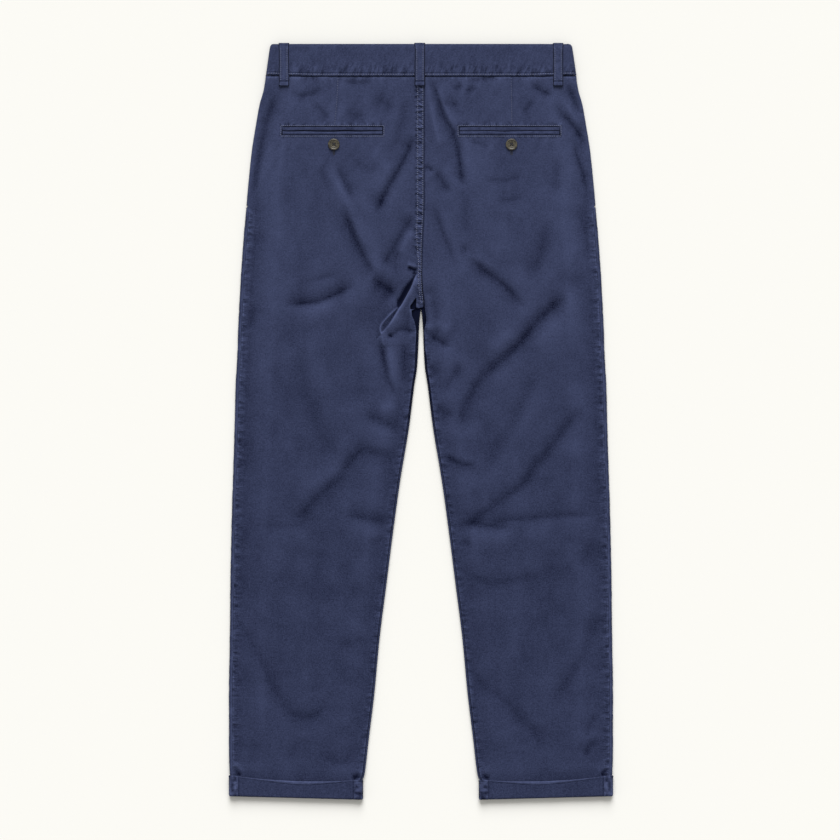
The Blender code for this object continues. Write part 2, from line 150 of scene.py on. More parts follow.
def twill(name, deep, rubbed_and_shaded, roughness=0.85):
    material = bpy.data.materials.new(name)
    material.use_nodes = True
    tree = material.node_tree
    shader = tree.nodes["Principled BSDF"]
    shader.inputs["Roughness"].default_value = roughness
    shader.inputs["Specular IOR Level"].default_value = 0.12
    shader.inputs["Sheen Weight"].default_value = 0.04
    shader.inputs["Sheen Roughness"].default_value = 0.45
    cloth = tree.nodes.new("ShaderNodeUVMap")
    cloth.uv_map = "cloth"
    place = cloth.outputs["UV"]
    turned = tree.nodes.new("ShaderNodeMapping")
    turned.inputs["Rotation"].default_value = (0.0, 0.0, RIB_LEAN)
    tree.links.new(place, turned.inputs["Vector"])
    rib = tree.nodes.new("ShaderNodeTexWave")
    rib.wave_type = "BANDS"
    rib.inputs["Scale"].default_value = WAVE_PERIOD / RIB_PITCH
    rib.inputs["Distortion"].default_value = 1.2
    rib.inputs["Detail"].default_value = 2.0
    rib.inputs["Detail Scale"].default_value = 3.0
    link(tree, turned, "Vector", rib, "Vector")
    fuzz = speckle(tree, place, 620.0, 3.0)
    slub = speckle(tree, place, 260.0, 2.0)
    cast = speckle(tree, place, 20.0, 3.0)
    # This point value holds faded dye together with painted light and shade.
    wear_and_shade_input = tree.nodes.new("ShaderNodeAttribute")
    wear_and_shade_input.attribute_name = "wear_and_shade"
    shade = weigh(tree, wear_and_shade_input.outputs["Fac"], 1.0, -0.70)
    shade = weigh(tree, fuzz, 0.85, shade)
    shade = weigh(tree, slub, 0.30, shade)
    shade = weigh(tree, cast, 0.25, shade)
    gathers = tree.nodes.new("ShaderNodeAttribute")
    gathers.attribute_name = "gathers"
    parts = tree.nodes.new("ShaderNodeSeparateXYZ")
    link(tree, gathers, "Vector", parts, "Vector")
    relief = weigh(tree, rib.outputs["Fac"], 0.05)
    relief = weigh(tree, fuzz, 0.10, relief)
    relief = weigh(tree, slub, 0.10, relief)
    relief = weigh(tree, speckle(tree, place, 70.0, 3.0), 0.35, relief)
    for axis, stretch, lean in (("X", (65.0, 150.0), 0.0), ("Y", (200.0, 70.0), 0.0),
                                ("Z", (75.0, 210.0), math.radians(32.0))):
        streaks = weigh(tree, speckle(tree, place, 1.0, 2.0, stretch, lean), 1.0, -0.5)
        relief = weigh(tree, streaks, parts.outputs[axis], relief)
        # The gather streaks also go into the colour: crests painted paler and hollows darker, partly faded
        # dye and partly painted shade.
        gather_rub_and_shade = weigh(tree, parts.outputs[axis], 0.30)
        shade = weigh(tree, streaks, gather_rub_and_shade, shade)
    limit = tree.nodes.new("ShaderNodeClamp")
    limit.inputs["Min"].default_value = SHADE_FLOOR
    tree.links.new(shade, limit.inputs["Value"])
    dye = tree.nodes.new("ShaderNodeMix")
    dye.data_type = "RGBA"
    dye.clamp_factor = False
    dye.inputs["A"].default_value = deep
    dye.inputs["B"].default_value = rubbed_and_shaded
    tree.links.new(limit.outputs[0], dye.inputs["Factor"])
    tree.links.new(dye.outputs["Result"], shader.inputs["Base Color"])
    bump = tree.nodes.new("ShaderNodeBump")
    bump.inputs["Strength"].default_value = 1.0
    bump.inputs["Distance"].default_value = 0.001
    tree.links.new(relief, bump.inputs["Height"])
    link(tree, bump, "Normal", shader, "Normal")
    return material


navy = twill("navy_twill", NAVY_DEEP, NAVY_PALE)
# A darker copy of the twill for the pocket facings and the fly shield: painted shade for cloth that sits
# inside the garment.
navy_shaded = twill("navy_twill_inside", tuple(0.7 * c for c in NAVY_DEEP[:3]) + (1.0,), NAVY_PALE)

# Leg form. Every panel is cut from one table of stations down the garment, in
# millimetres: the same outline and heights that the frame's panels have.

WAIST_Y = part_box("waistband")[1].y
BAND_LOW = (WAIST_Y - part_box("waistband")[0].y) / MM
CLOTH = 0.8
STATION_NAMES = ("down", "half_width", "half_gap", "inset", "curl",
                 "rest_edge", "rest_mid", "top_edge", "top_mid")
STATION_ROWS = (
    (41.3, 207.0, 0.15, 0.0, 0.0, 2.9, 2.9, 6.5, 8.2),
    (60.0, 209.4, 0.15, 0.0, 0.0, 2.5, 2.8, 6.2, 8.4),
    (80.0, 215.0, 0.15, 0.0, 0.0, 1.6, 2.4, 5.6, 8.6),
    (110.0, 220.4, 0.15, 0.0, 0.0, 0.3, 1.9, 4.8, 8.8),
    (140.0, 225.2, 0.15, 0.0, 0.0, 0.0, 1.7, 4.6, 9.0),
    (175.0, 229.0, 0.15, 0.0, 0.0, 0.0, 1.6, 4.6, 9.2),
    (195.0, 230.9, 0.15, 0.0, 0.0, 0.0, 1.6, 4.6, 9.3),
    (215.0, 232.6, 0.15, 0.0, 0.0, 0.0, 1.5, 4.6, 9.4),
    (217.5, 232.8, 0.15, 0.0, 0.0, 0.0, 1.5, 4.6, 9.4),
    (260.0, 236.6, 0.15, 0.0, 0.0, 0.0, 1.4, 4.6, 9.4),
    (303.0, 239.6, 0.03, 0.0, 0.0, 0.0, 1.2, 4.6, 9.2),
    (330.0, 241.2, 0.03, 1.0, 0.0, 0.0, 1.0, 4.6, 9.0),
    (351.0, 242.3, 0.06, 5.2, 0.1, 0.0, 0.9, 4.6, 8.8),
    (358.0, 242.6, 0.9, 4.9, 0.2, 0.0, 0.8, 4.6, 8.7),
    (375.0, 243.5, 2.4, 4.0, 0.6, 0.0, 0.7, 4.6, 8.5),
    (400.0, 244.2, 3.4, 3.4, 1.0, 0.0, 0.5, 4.6, 8.2),
    (428.0, 245.6, 5.0, 3.2, 1.0, 0.0, 0.3, 4.6, 8.0),
    (455.0, 247.0, 9.0, 3.2, 1.0, 0.0, 0.1, 4.6, 7.8),
    (508.0, 248.5, 15.6, 3.2, 1.0, 0.0, 0.0, 4.6, 7.6),
    (580.0, 250.6, 27.5, 3.2, 1.0, 0.0, 0.0, 4.6, 7.4),
    (650.0, 252.7, 37.2, 3.2, 1.0, 0.0, 0.0, 4.6, 7.2),
    (721.0, 254.1, 46.2, 3.2, 1.0, 0.0, 0.0, 4.6, 7.0),
    (792.0, 254.8, 55.2, 3.2, 1.0, 0.0, 0.0, 4.6, 6.8),
    (864.0, 255.9, 62.0, 3.2, 1.0, 0.0, 0.0, 4.6, 6.6),
    (930.0, 255.9, 70.0, 3.2, 1.0, 0.0, 0.0, 4.6, 6.4),
    (955.0, 255.7, 72.8, 3.2, 1.0, 0.9, 0.9, 5.1, 6.2),
    (968.0, 255.3, 74.4, 3.2, 1.0, 1.9, 1.9, 5.6, 6.0),
    (976.0, 254.9, 76.0, 3.2, 1.0, 2.1, 2.1, 5.5, 5.7),
    (983.0, 253.5, 79.3, 3.2, 1.0, 2.1, 2.1, 5.5, 5.5),
    (1003.0, 253.5, 79.3, 3.2, 1.0, 2.1, 2.1, 5.5, 5.5),
)
STATIONS = dict(zip(STATION_NAMES, np.array(STATION_ROWS).T))
PANEL_TOP, PANEL_END = STATION_ROWS[0][0], STATION_ROWS[-1][0]
SIDE_SEAM_INSET, HIP_SEAM_INSET = 4.5, 0.7
SIDE_SEAM_START = 208.0
HEM_TILT = 4.7
HEM_INNER, HEM_OUTER = 77.0, 256.0


def curve(places, values, at):
    """Smooth curve through a short column of values, never past its neighbours."""
    at = np.clip(np.asarray(at, dtype=float), places[0], places[-1])
    steps = np.diff(values) / np.diff(places)
    before, after = steps[:-1], steps[1:]
    total = np.where(before + after == 0.0, 1.0, before + after)
    inner = np.where(before * after > 0.0, 2.0 * before * after / total, 0.0)
    slopes = np.concatenate(([0.0], inner, [0.0]))
    k = np.clip(np.searchsorted(places, at, side="right") - 1, 0, len(places) - 2)
    span = places[k + 1] - places[k]
    t = (at - places[k]) / span
    r = 1.0 - t
    return (values[k] * r * r * (1.0 + 2.0 * t) + slopes[k] * span * t * r * r
            + values[k + 1] * t * t * (3.0 - 2.0 * t) - slopes[k + 1] * span * t * t * r)


def leg(name, down):
    return curve(STATIONS["down"], STATIONS[name], down)


def smooth(value):
    value = np.clip(value, 0.0, 1.0)
    return value * value * (3.0 - 2.0 * value)


def bell(distance, width):
    return np.exp(-((distance / width) ** 2))


def crumple(x, down, cell_x, cell_down, seed):
    """Uneven soft field from -1 to 1, with swells about one cell across."""
    knots = np.random.default_rng(seed).uniform(-1.0, 1.0, (97, 97))
    a, b = x / cell_x + 50.3, down / cell_down + 20.7
    i, j = np.floor(a).astype(int), np.floor(b).astype(int)
    s, t = smooth(a - i), smooth(b - j)
    i, j = i % 97, j % 97
    i2, j2 = (i + 1) % 97, (j + 1) % 97
    top = knots[j, i] * (1.0 - s) + knots[j, i2] * s
    low = knots[j2, i] * (1.0 - s) + knots[j2, i2] * s
    return top * (1.0 - t) + low * t


def seam_inset(down):
    """How far inside the outline the side seam lies; over the hip it rolls round it."""
    return HIP_SEAM_INSET + (SIDE_SEAM_INSET - HIP_SEAM_INSET) * smooth((down - SIDE_SEAM_START) / 26.0)


def edge_radius(down):
    return (leg("top_edge", down) - leg("rest_edge", down)) / 2.0


def hem_slant(across, down):
    share = (across - HEM_INNER) / (HEM_OUTER - HEM_INNER)
    return -HEM_TILT * share * smooth((down - 880.0) / 95.0)


def add_piece(name, mesh, material=None):
    """An object at the origin for a finished mesh, riding on the garment."""
    if material:
        mesh.materials.append(material)
    piece = bpy.data.objects.new(name, mesh)
    bpy.context.scene.collection.objects.link(piece)
    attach(piece, "root")
    return piece


def mesh_of(bm, name):
    """Closes a bmesh into a smooth-shaded mesh."""
    for face in bm.faces:
        face.smooth = True
    mesh = bpy.data.meshes.new(name)
    bm.to_mesh(mesh)
    bm.free()
    return mesh


def cloth_sheet(name, columns, rows, place, thickness, material, flip=False, drop=None):
    """A sheet of cloth: a flat grid laid out by place(u, v) and given its thickness.
    place returns x, down and height in millimetres, the dye fade with painted
    light and shade from 0 to 1, the cloth's own coordinates, and how deep its
    fine gathers are across the leg, down it and on the slant. drop marks the
    cells that are cut out."""
    bm = bmesh.new()
    bmesh.ops.create_grid(bm, x_segments=columns, y_segments=rows, size=1.0)
    mesh = bpy.data.meshes.new(name)
    bm.to_mesh(mesh)
    flat = np.empty(len(mesh.vertices) * 3)
    mesh.vertices.foreach_get("co", flat)
    i = np.rint((flat[0::3] + 1.0) / 2.0 * columns).astype(int)
    j = np.rint((flat[1::3] + 1.0) / 2.0 * rows).astype(int)
    u, v = np.meshgrid(np.linspace(0.0, 1.0, columns + 1), np.linspace(0.0, 1.0, rows + 1))
    x, down, height, wear_and_shade, across, along, *gathers = place(u, v)
    bm.free()
    flat[0::3] = x[j, i] * MM
    flat[1::3] = WAIST_Y - down[j, i] * MM
    flat[2::3] = height[j, i] * MM
    mesh.vertices.foreach_set("co", flat)
    attribute = mesh.attributes.new("wear_and_shade", "FLOAT", "POINT")
    attribute.data.foreach_set("value", wear_and_shade[j, i])
    depths = np.zeros((len(i), 3))
    for k, depth in enumerate(gathers):
        depths[:, k] = np.broadcast_to(depth, u.shape)[j, i]
    attribute = mesh.attributes.new("gathers", "FLOAT_VECTOR", "POINT")
    attribute.data.foreach_set("vector", depths.ravel())
    weave = mesh.uv_layers.new(name="cloth")
    corners = np.empty(len(mesh.loops), dtype=int)
    mesh.loops.foreach_get("vertex_index", corners)
    pairs = np.stack((across[j, i][corners] * MM, along[j, i][corners] * MM), axis=1)
    weave.data.foreach_set("uv", pairs.ravel())
    bm = bmesh.new()
    bm.from_mesh(mesh)
    if drop is not None:
        cut = [f for f in bm.faces if drop(f.calc_center_median())]
        bmesh.ops.delete(bm, geom=cut, context="FACES")
    bmesh.ops.remove_doubles(bm, verts=bm.verts, dist=0.002 * MM)
    if flip:
        bmesh.ops.reverse_faces(bm, faces=bm.faces)
    for face in bm.faces:
        face.smooth = True
    bm.to_mesh(mesh)
    bm.free()
    piece = add_piece(name, mesh, material)
    wall = piece.modifiers.new("Thickness", "SOLIDIFY")
    wall.thickness = thickness * MM
    wall.offset = -1.0
    return piece


# Back panels. Two leg-length pieces of twill, sewn together down the seat and to
# the fronts at the sides and inseams. Their creases are the ones a worn and then
# flattened pair shows: drag lines from the crotch, breaks at the knee and shin.

SEAT_SEAM_X = 4.0
SEAT_SEAM_LOW_X = 0.8
SEAT_BAND = 10.0
CROTCH = 303.0

# Inner edge of each back panel past the crotch, as (down, x), and for the left one
# the line from which its height fades.
LEFT_CROTCH_EDGE = np.array((
    (303.0, 0.5), (325.0, 1.2), (344.0, 3.3), (350.0, 3.2), (352.5, -7.5), (355.0, -12.4), (360.0, -12.2),
    (370.0, -8.6), (383.0, -6.4), (400.0, -7.2), (428.0, -8.4)))
LEFT_FADE_EDGE = np.array((
    (303.0, 0.0), (330.0, -4.0), (352.0, -9.5), (370.0, -9.0), (400.0, -7.2), (428.0, -8.4)))
RIGHT_CROTCH_EDGE = np.array((
    (303.0, 0.9), (325.0, 1.8), (345.0, 4.3), (355.0, 5.6), (369.0, 7.0), (380.0, 4.6),
    (390.0, 4.0), (400.0, 4.8), (428.0, 8.4)))

# Creases: points along the crease as (x, down), height, then how far it reaches to
# the left or below, how far to the right or above, how sharp its line is, and for
# a few how soon it fades at its ends.
CREASES = (
    # left hip and seat
    (((-192, 60), (-200, 85), (-209, 115), (-217, 150), (-224, 185), (-231, 216)), -1.9, 6, 7, 1.5),
    (((-197, 58), (-208, 86), (-215, 106)), 0.7, 4, 4, 1.5),
    (((-201, 128), (-209, 160), (-218, 192), (-226, 208), (-234, 220)), 0.8, 4, 8, 1.4),
    (((-176, 63), (-158, 69), (-146, 66), (-128, 57)), -1.5, 5, 4, 1.4),
    (((-168, 51), (-150, 47), (-132, 46)), -0.8, 4, 4, 1.5),
    (((-110, 46), (-92, 51), (-75, 51), (-60, 47)), -1.2, 4, 3, 1.4),
    (((-70, 70), (-52, 77), (-42, 84), (-37, 100)), -1.1, 9, 6, 1.6),
    (((-106, 91), (-90, 95), (-70, 98)), -1.0, 7, 7, 1.6),
    (((-148, 76), (-132, 89), (-120, 104)), -0.9, 5, 3, 1.4),
    (((-19, 66), (-26, 105), (-36, 140), (-46, 160)), -1.2, 8, 7, 1.7),
    (((-30, 62), (-37, 100), (-47, 140)), 0.7, 7, 6, 1.8),
    (((-10, 118), (-18, 143), (-28, 163), (-41, 186), (-51, 206), (-61, 228)), -2.7, 7, 5, 1.5, 24),
    (((-33, 148), (-48, 176), (-62, 206)), 1.1, 9, 7, 1.7),
    (((-113, 154), (-106, 175), (-98, 191), (-87, 212)), -1.5, 4, 7, 1.4),
    (((-119, 158), (-110, 187), (-97, 214), (-84, 245), (-70, 280)), 0.9, 5, 9, 1.6),
    (((-137, 158), (-128, 180), (-117, 204)), -0.7, 4, 5, 1.5),
    (((-104, 212), (-98, 232), (-89, 254), (-79, 276), (-66, 300), (-52, 318)), -2.3, 10, 5, 1.4),
    (((-100, 142), (-80, 162), (-62, 166), (-48, 158)), -1.1, 8, 8, 1.7),
    (((-9, 224), (-24, 250), (-35, 268), (-54, 300)), -2.4, 8, 6, 1.5, 20),
    (((-10, 246), (-22, 266), (-30, 282)), 1.0, 4, 5, 1.5, 12),
    (((-21, 262), (-31, 278), (-35, 294), (-27, 314)), -1.0, 4, 5, 1.3),
    (((-68, 310), (-50, 322), (-38, 331), (-29, 340)), -2.9, 8, 7, 1.5, 20),
    (((-186, 344), (-160, 345), (-140, 343), (-121, 336), (-104, 328), (-84, 315)), -2.4, 4, 11, 1.4),
    (((-172, 357), (-140, 356), (-105, 342)), 1.0, 13, 8, 1.8),
    (((-168, 322), (-135, 312), (-100, 303)), -0.5, 3, 4, 1.5),
    (((-226, 248), (-217, 262), (-204, 246)), -0.9, 7, 8, 1.6),
    (((-229, 340), (-224, 360), (-231, 384)), -0.8, 6, 6, 1.6),
    (((-160, 210), (-190, 260), (-170, 310)), 0.6, 26, 22, 2.0),
    # left thigh, knee and shin
    (((-168, 410), (-150, 470), (-136, 510), (-120, 540), (-106, 552)), -1.5, 15, 12, 1.8),
    (((-148, 376), (-140, 430), (-116, 478)), 0.9, 12, 14, 1.9),
    (((-55, 384), (-52, 405), (-48, 428), (-42, 450), (-29, 475)), -2.0, 4, 4, 1.3),
    (((-45, 390), (-41, 420), (-35, 450), (-28, 468)), 1.2, 4, 7, 1.5),
    (((-24, 392), (-22, 425), (-19, 462)), -1.1, 6, 6, 1.6),
    (((-62, 482), (-45, 484), (-29, 477)), 0.9, 6, 5, 1.5),
    (((-78, 484), (-58, 499), (-38, 508), (-25, 520)), -1.7, 7, 9, 1.6),
    (((-74, 508), (-52, 518), (-32, 521)), 0.7, 6, 6, 1.7),
    (((-26, 549), (-40, 548), (-56, 545), (-72, 540), (-86, 547), (-99, 563), (-112, 580),
      (-126, 592), (-140, 604), (-153, 620), (-178, 640)), -2.5, 8, 14, 1.5),
    (((-96, 548), (-118, 570), (-140, 586), (-160, 612)), 0.9, 9, 8, 1.8),
    (((-104, 626), (-80, 630), (-60, 634), (-41, 638)), -1.8, 4, 11, 1.4),
    (((-104, 646), (-70, 650), (-48, 650)), 0.7, 9, 6, 1.7),
    (((-230, 640), (-190, 642), (-150, 640)), -0.6, 4, 9, 1.5),
    (((-74, 664), (-58, 662), (-45, 652)), -0.9, 4, 6, 1.5),
    (((-186, 666), (-160, 676), (-110, 684)), -0.7, 9, 9, 1.7),
    (((-247, 762), (-226, 795), (-208, 830), (-195, 860), (-180, 881), (-164, 894),
      (-148, 895), (-132, 886), (-118, 870)), -1.5, 8, 8, 1.5),
    (((-110, 806), (-90, 796), (-72, 786)), -0.7, 6, 5, 1.5),
    (((-82, 820), (-94, 860), (-86, 905)), -0.8, 10, 10, 1.8),
    (((-144, 944), (-122, 953), (-104, 957), (-92, 944), (-84, 928)), -1.0, 5, 7, 1.5),
    (((-185, 960), (-170, 945), (-168, 920)), -0.6, 7, 7, 1.7),
    (((-150, 720), (-165, 780), (-150, 830)), 0.7, 20, 20, 2.0),
    # right hip and seat
    (((12, 47), (20, 62), (25, 80), (31, 96), (39, 111), (45, 126), (49, 142), (52, 162),
      (56, 192)), -2.5, 7, 4, 1.4, 22),
    (((19, 52), (29, 76), (38, 98), (47, 116)), 1.5, 3, 5, 1.4, 16),
    (((9, 52), (13, 80), (19, 112), (27, 140)), 1.1, 3, 4, 1.4, 16),
    (((10, 70), (18, 100), (30, 135)), 0.7, 6, 7, 1.8),
    (((56, 190), (60, 230), (58, 262)), -0.7, 6, 6, 1.6),
    (((26, 75), (40, 81), (52, 77)), -1.4, 5, 7, 1.5),
    (((40, 61), (48, 58), (56, 53)), -1.1, 3, 4, 1.4),
    (((56, 61), (66, 61), (74, 55)), -1.0, 3, 3, 1.4),
    (((60, 50), (80, 47), (104, 45)), -1.2, 3, 3, 1.4),
    (((3, 163), (10, 165), (17, 171)), -1.5, 3, 2.5, 1.2),
    (((12, 166), (20, 172), (30, 186), (42, 202)), -2.0, 8, 5, 1.5),
    (((26, 158), (38, 178), (48, 196)), 0.9, 6, 8, 1.7),
    (((13, 210), (22, 230), (28, 248), (35, 266), (43, 285), (50, 304)), -1.5, 8, 4, 1.4),
    (((26, 214), (34, 240), (42, 264)), 0.6, 5, 8, 1.6),
    (((52, 262), (57, 274), (48, 284)), -0.8, 4, 4, 1.5),
    (((62, 284), (70, 289), (83, 300), (98, 311), (111, 321), (126, 337), (142, 354)), -2.1, 9, 5, 1.4),
    (((60, 279), (84, 290), (104, 302)), 0.7, 4, 6, 1.6),
    (((78, 178), (95, 181), (112, 182), (122, 179), (144, 177)), -0.6, 3, 2.5, 1.3),
    (((98, 209), (118, 208), (138, 203)), -0.6, 3, 3, 1.3),
    (((60, 129), (76, 132), (94, 137)), -0.7, 3, 3, 1.4),
    (((176, 146), (181, 175), (176, 206)), -1.2, 12, 9, 1.8),
    (((170, 228), (164, 250), (160, 272), (150, 300), (138, 318)), -1.4, 14, 11, 1.8),
    (((110, 230), (104, 262), (100, 292)), 0.9, 22, 20, 2.0),
    (((176, 300), (195, 314), (226, 312)), -1.3, 11, 12, 1.8),
    (((144, 48), (156, 60), (166, 65), (180, 68)), -1.6, 4, 4, 1.3),
    (((134, 96), (140, 85), (152, 75)), -0.7, 3, 3, 1.4),
    (((177, 77), (187, 92), (198, 103), (210, 119), (218, 133), (224, 146)), -2.1, 5, 4, 1.4),
    (((186, 68), (198, 88), (208, 103), (220, 117)), 1.0, 4, 4, 1.4),
    (((190, 48), (200, 66), (208, 82), (217, 98)), -1.7, 4, 6, 1.5),
    (((202, 126), (208, 150), (215, 171), (220, 190), (228, 200)), -1.4, 3, 5, 1.3),
    (((210, 138), (216, 158), (224, 176)), 0.6, 4, 4, 1.5),
    (((212, 212), (216, 240), (224, 264)), -0.7, 7, 6, 1.6),
    # right thigh, knee and shin
    (((200, 335), (181, 345), (166, 358), (152, 371), (141, 386), (128, 401), (112, 416), (96, 430),
      (83, 441), (72, 456), (62, 476), (55, 496), (50, 520)), -2.9, 9, 9, 1.6),
    (((132, 372), (106, 398), (82, 414)), 1.2, 9, 11, 1.7),
    (((196, 360), (168, 388), (150, 410)), 0.8, 10, 12, 1.9),
    (((6, 384), (16, 390), (28, 397), (42, 405)), -2.4, 5, 9, 1.5),
    (((16, 366), (28, 374), (40, 386)), 0.9, 6, 8, 1.7),
    (((28, 468), (38, 450), (46, 438), (54, 420)), -1.6, 6, 6, 1.5),
    (((10, 424), (17, 434), (20, 446)), -0.9, 5, 5, 1.5),
    (((18, 478), (30, 490), (46, 497)), -1.4, 5, 6, 1.5),
    (((152, 436), (134, 478), (120, 502), (102, 540), (80, 582)), -1.0, 12, 9, 1.8),
    (((160, 452), (136, 508), (108, 558), (80, 596)), 0.9, 10, 12, 1.9),
    (((24, 548), (38, 551), (49, 557), (61, 560), (76, 561)), -2.0, 7, 3, 1.3),
    (((218, 482), (196, 505), (181, 525), (166, 545), (152, 562), (140, 580), (120, 598), (100, 611),
      (85, 623), (66, 636), (46, 642)), -2.3, 8, 9, 1.6),
    (((46, 641), (72, 639), (96, 642), (124, 643)), -1.5, 3.5, 8, 1.4),
    (((88, 634), (140, 632), (200, 627), (238, 627)), -1.3, 3.5, 8, 1.4),
    (((60, 652), (110, 656), (180, 650)), 0.7, 12, 7, 1.8),
    (((52, 658), (60, 664), (70, 664)), -0.9, 4, 5, 1.5),
    (((230, 652), (222, 675), (205, 700)), -1.2, 12, 12, 1.8),
    (((52, 696), (70, 709), (96, 717), (122, 713), (146, 709), (164, 700)), -1.3, 9, 7, 1.6),
    (((160, 704), (190, 700), (214, 684)), -0.8, 9, 9, 1.8),
    (((237, 748), (226, 790), (211, 822), (196, 846), (181, 871), (170, 890)), -1.7, 10, 9, 1.7),
    (((66, 832), (88, 858), (110, 873), (126, 891), (144, 906), (156, 922), (160, 948)), -1.6, 9, 10, 1.7),
    (((128, 786), (140, 818), (146, 832)), -0.6, 5, 5, 1.6),
    (((216, 956), (226, 936), (240, 927)), -1.2, 4, 4, 1.4),
    (((218, 926), (228, 902), (240, 889)), -1.0, 4, 4, 1.4),
    (((7, 330), (8, 352), (9, 372), (7, 384)), 1.2, 4, 5, 1.6, 12),
    # creases caught in the hem folds
    (((-256, 974), (-248, 973), (-239, 978)), -2.2, 2.2, 1.8, 1.4, 4),
    (((-252, 968), (-244, 967), (-236, 974)), 0.8, 2, 2, 1.4, 3),
    (((-76, 977), (-84, 976), (-92, 980)), -2.2, 2.2, 1.8, 1.4, 4),
    (((256, 974), (248, 973), (239, 978)), -2.2, 2.2, 1.8, 1.4, 4),
    (((252, 968), (245, 967), (236, 974)), 0.8, 2, 2, 1.4, 3),
    (((76, 977), (84, 976), (92, 980)), -2.2, 2.2, 1.8, 1.4, 4),
)


def along_path(points, count=28):
    """Even points on a smooth curve through a few given ones."""
    points = np.array(points, dtype=float)
    gaps = np.hypot(*np.diff(points, axis=0).T)
    reach = np.concatenate(([0.0], np.cumsum(gaps)))
    at = np.linspace(0.0, reach[-1], count)
    if len(points) == 2:
        return np.stack([np.interp(at, reach, points[:, k]) for k in (0, 1)], axis=1)
    tangents = np.gradient(points, reach, axis=0)
    k = np.clip(np.searchsorted(reach, at, side="right") - 1, 0, len(points) - 2)
    span = (reach[k + 1] - reach[k])[:, None]
    t = (at[:, None] - reach[k][:, None]) / span
    r = 1.0 - t
    return (points[k] * r * r * (1.0 + 2.0 * t) + tangents[k] * span * t * r * r
            + points[k + 1] * t * t * (3.0 - 2.0 * t) - tangents[k + 1] * span * t * t * r)


def beside_path(x, down, path):
    """Distance from a path, which side of it (left or below is above 0) and the
    share of the way along it, for every place."""
    best = np.full(x.shape, 1.0e9)
    side = np.zeros(x.shape)
    travel = np.zeros(x.shape)
    count = len(path) - 1
    for k in range(count):
        start, step = path[k], path[k + 1] - path[k]
        length = np.hypot(*step)
        raw = ((x - start[0]) * step[0] + (down - start[1]) * step[1]) / length ** 2
        t = np.clip(raw, 0.0, 1.0)
        away_x, away_d = x - start[0] - t * step[0], down - start[1] - t * step[1]
        away = np.hypot(away_x, away_d)
        closer = away < best
        best = np.where(closer, away, best)
        side = np.where(closer, (-step[1] * away_x + step[0] * away_d) / length, side)
        travel = np.where(closer, (k + t) / count, travel)
    return best, side, travel


def crease_height(x, down, creases):
    total = np.zeros_like(x)
    for points, height, reach_a, reach_b, power, *ending in creases:
        path = along_path(points)
        margin = 5.5 * max(reach_a, reach_b)
        low, high = path.min(axis=0) - margin, path.max(axis=0) + margin
        near = (x > low[0]) & (x < high[0]) & (down > low[1]) & (down < high[1])
        if not near.any():
            continue
        run = np.hypot(*np.diff(path, axis=0).T).sum()
        fade = min(0.42 * run, *(ending or (36.0,))) / run
        best, side, travel = beside_path(x[near], down[near], path)
        reach = np.where(side > 0.0, reach_a, reach_b)
        ends = smooth(travel / fade + 0.1) * smooth((1.0 - travel) / fade + 0.1)
        line = np.exp(-((best / reach) ** power))
        slope = np.exp(-((best / (2.5 * reach)) ** 1.7))
        total[near] += height * ends * (0.42 * line + 0.62 * slope)
    return total


def seat_seam(down):
    straight = SEAT_SEAM_X + (SEAT_SEAM_LOW_X - SEAT_SEAM_X) * smooth((down - 210.0) / 80.0)
    edge = LEFT_CROTCH_EDGE
    return np.where(down < CROTCH, straight, curve(edge[:, 0], edge[:, 1], np.minimum(down, 348.0)))


def on_seat_seam(down):
    """1 along the seat seam, 0 past its end at the crotch."""
    return 1.0 - smooth((down - 345.0) / 5.0)


def seat_band(down):
    """Width of the felled band beside the seat seam, narrowing to the crotch."""
    return SEAT_BAND - 5.5 * smooth((down - 240.0) / 60.0)


def back_inner(side, down):
    """x of a back panel's inner edge: seat seam, then crotch, then inseam."""
    edge = LEFT_CROTCH_EDGE if side < 0 else RIGHT_CROTCH_EDGE
    seam = seat_seam(down) + (0.15 if side > 0 else -0.15)
    crotch = curve(edge[:, 0], edge[:, 1], down)
    inseam = side * (leg("half_gap", down) + leg("inset", down))
    low = edge[-1, 0]
    return np.where(down < CROTCH, seam, np.where(down < low, crotch, inseam))


def back_outer(down):
    return leg("half_width", down) - seam_inset(down) - 0.3


def pucker(distance, down, seed, reach=5.5, pitch=9.0):
    """Uneven short gathers that a seam draws into the cloth beside it."""
    wave = crumple(distance, down, 16.0, pitch * 0.55, seed)
    strength = 0.55 + 0.45 * crumple(distance * 0.0, down, 9.0, 46.0, seed + 1)
    return wave * strength * bell(distance, reach)


def seat_rungs(band, down):
    """Slanted light and dark rungs where the felled seat seam twists, -1 to 1."""
    drift = 0.35 * crumple(band * 0.0, down, 9.0, 17.0, 45)
    rung = np.sin(math.tau * ((down - 0.75 * band) / 5.2 + drift))
    inside = smooth((band + seat_band(down) + 0.6) / 1.2) * smooth((-0.5 - band) / 0.9)
    return rung * inside * (0.65 + 0.35 * crumple(band, down, 5.0, 7.0, 46))


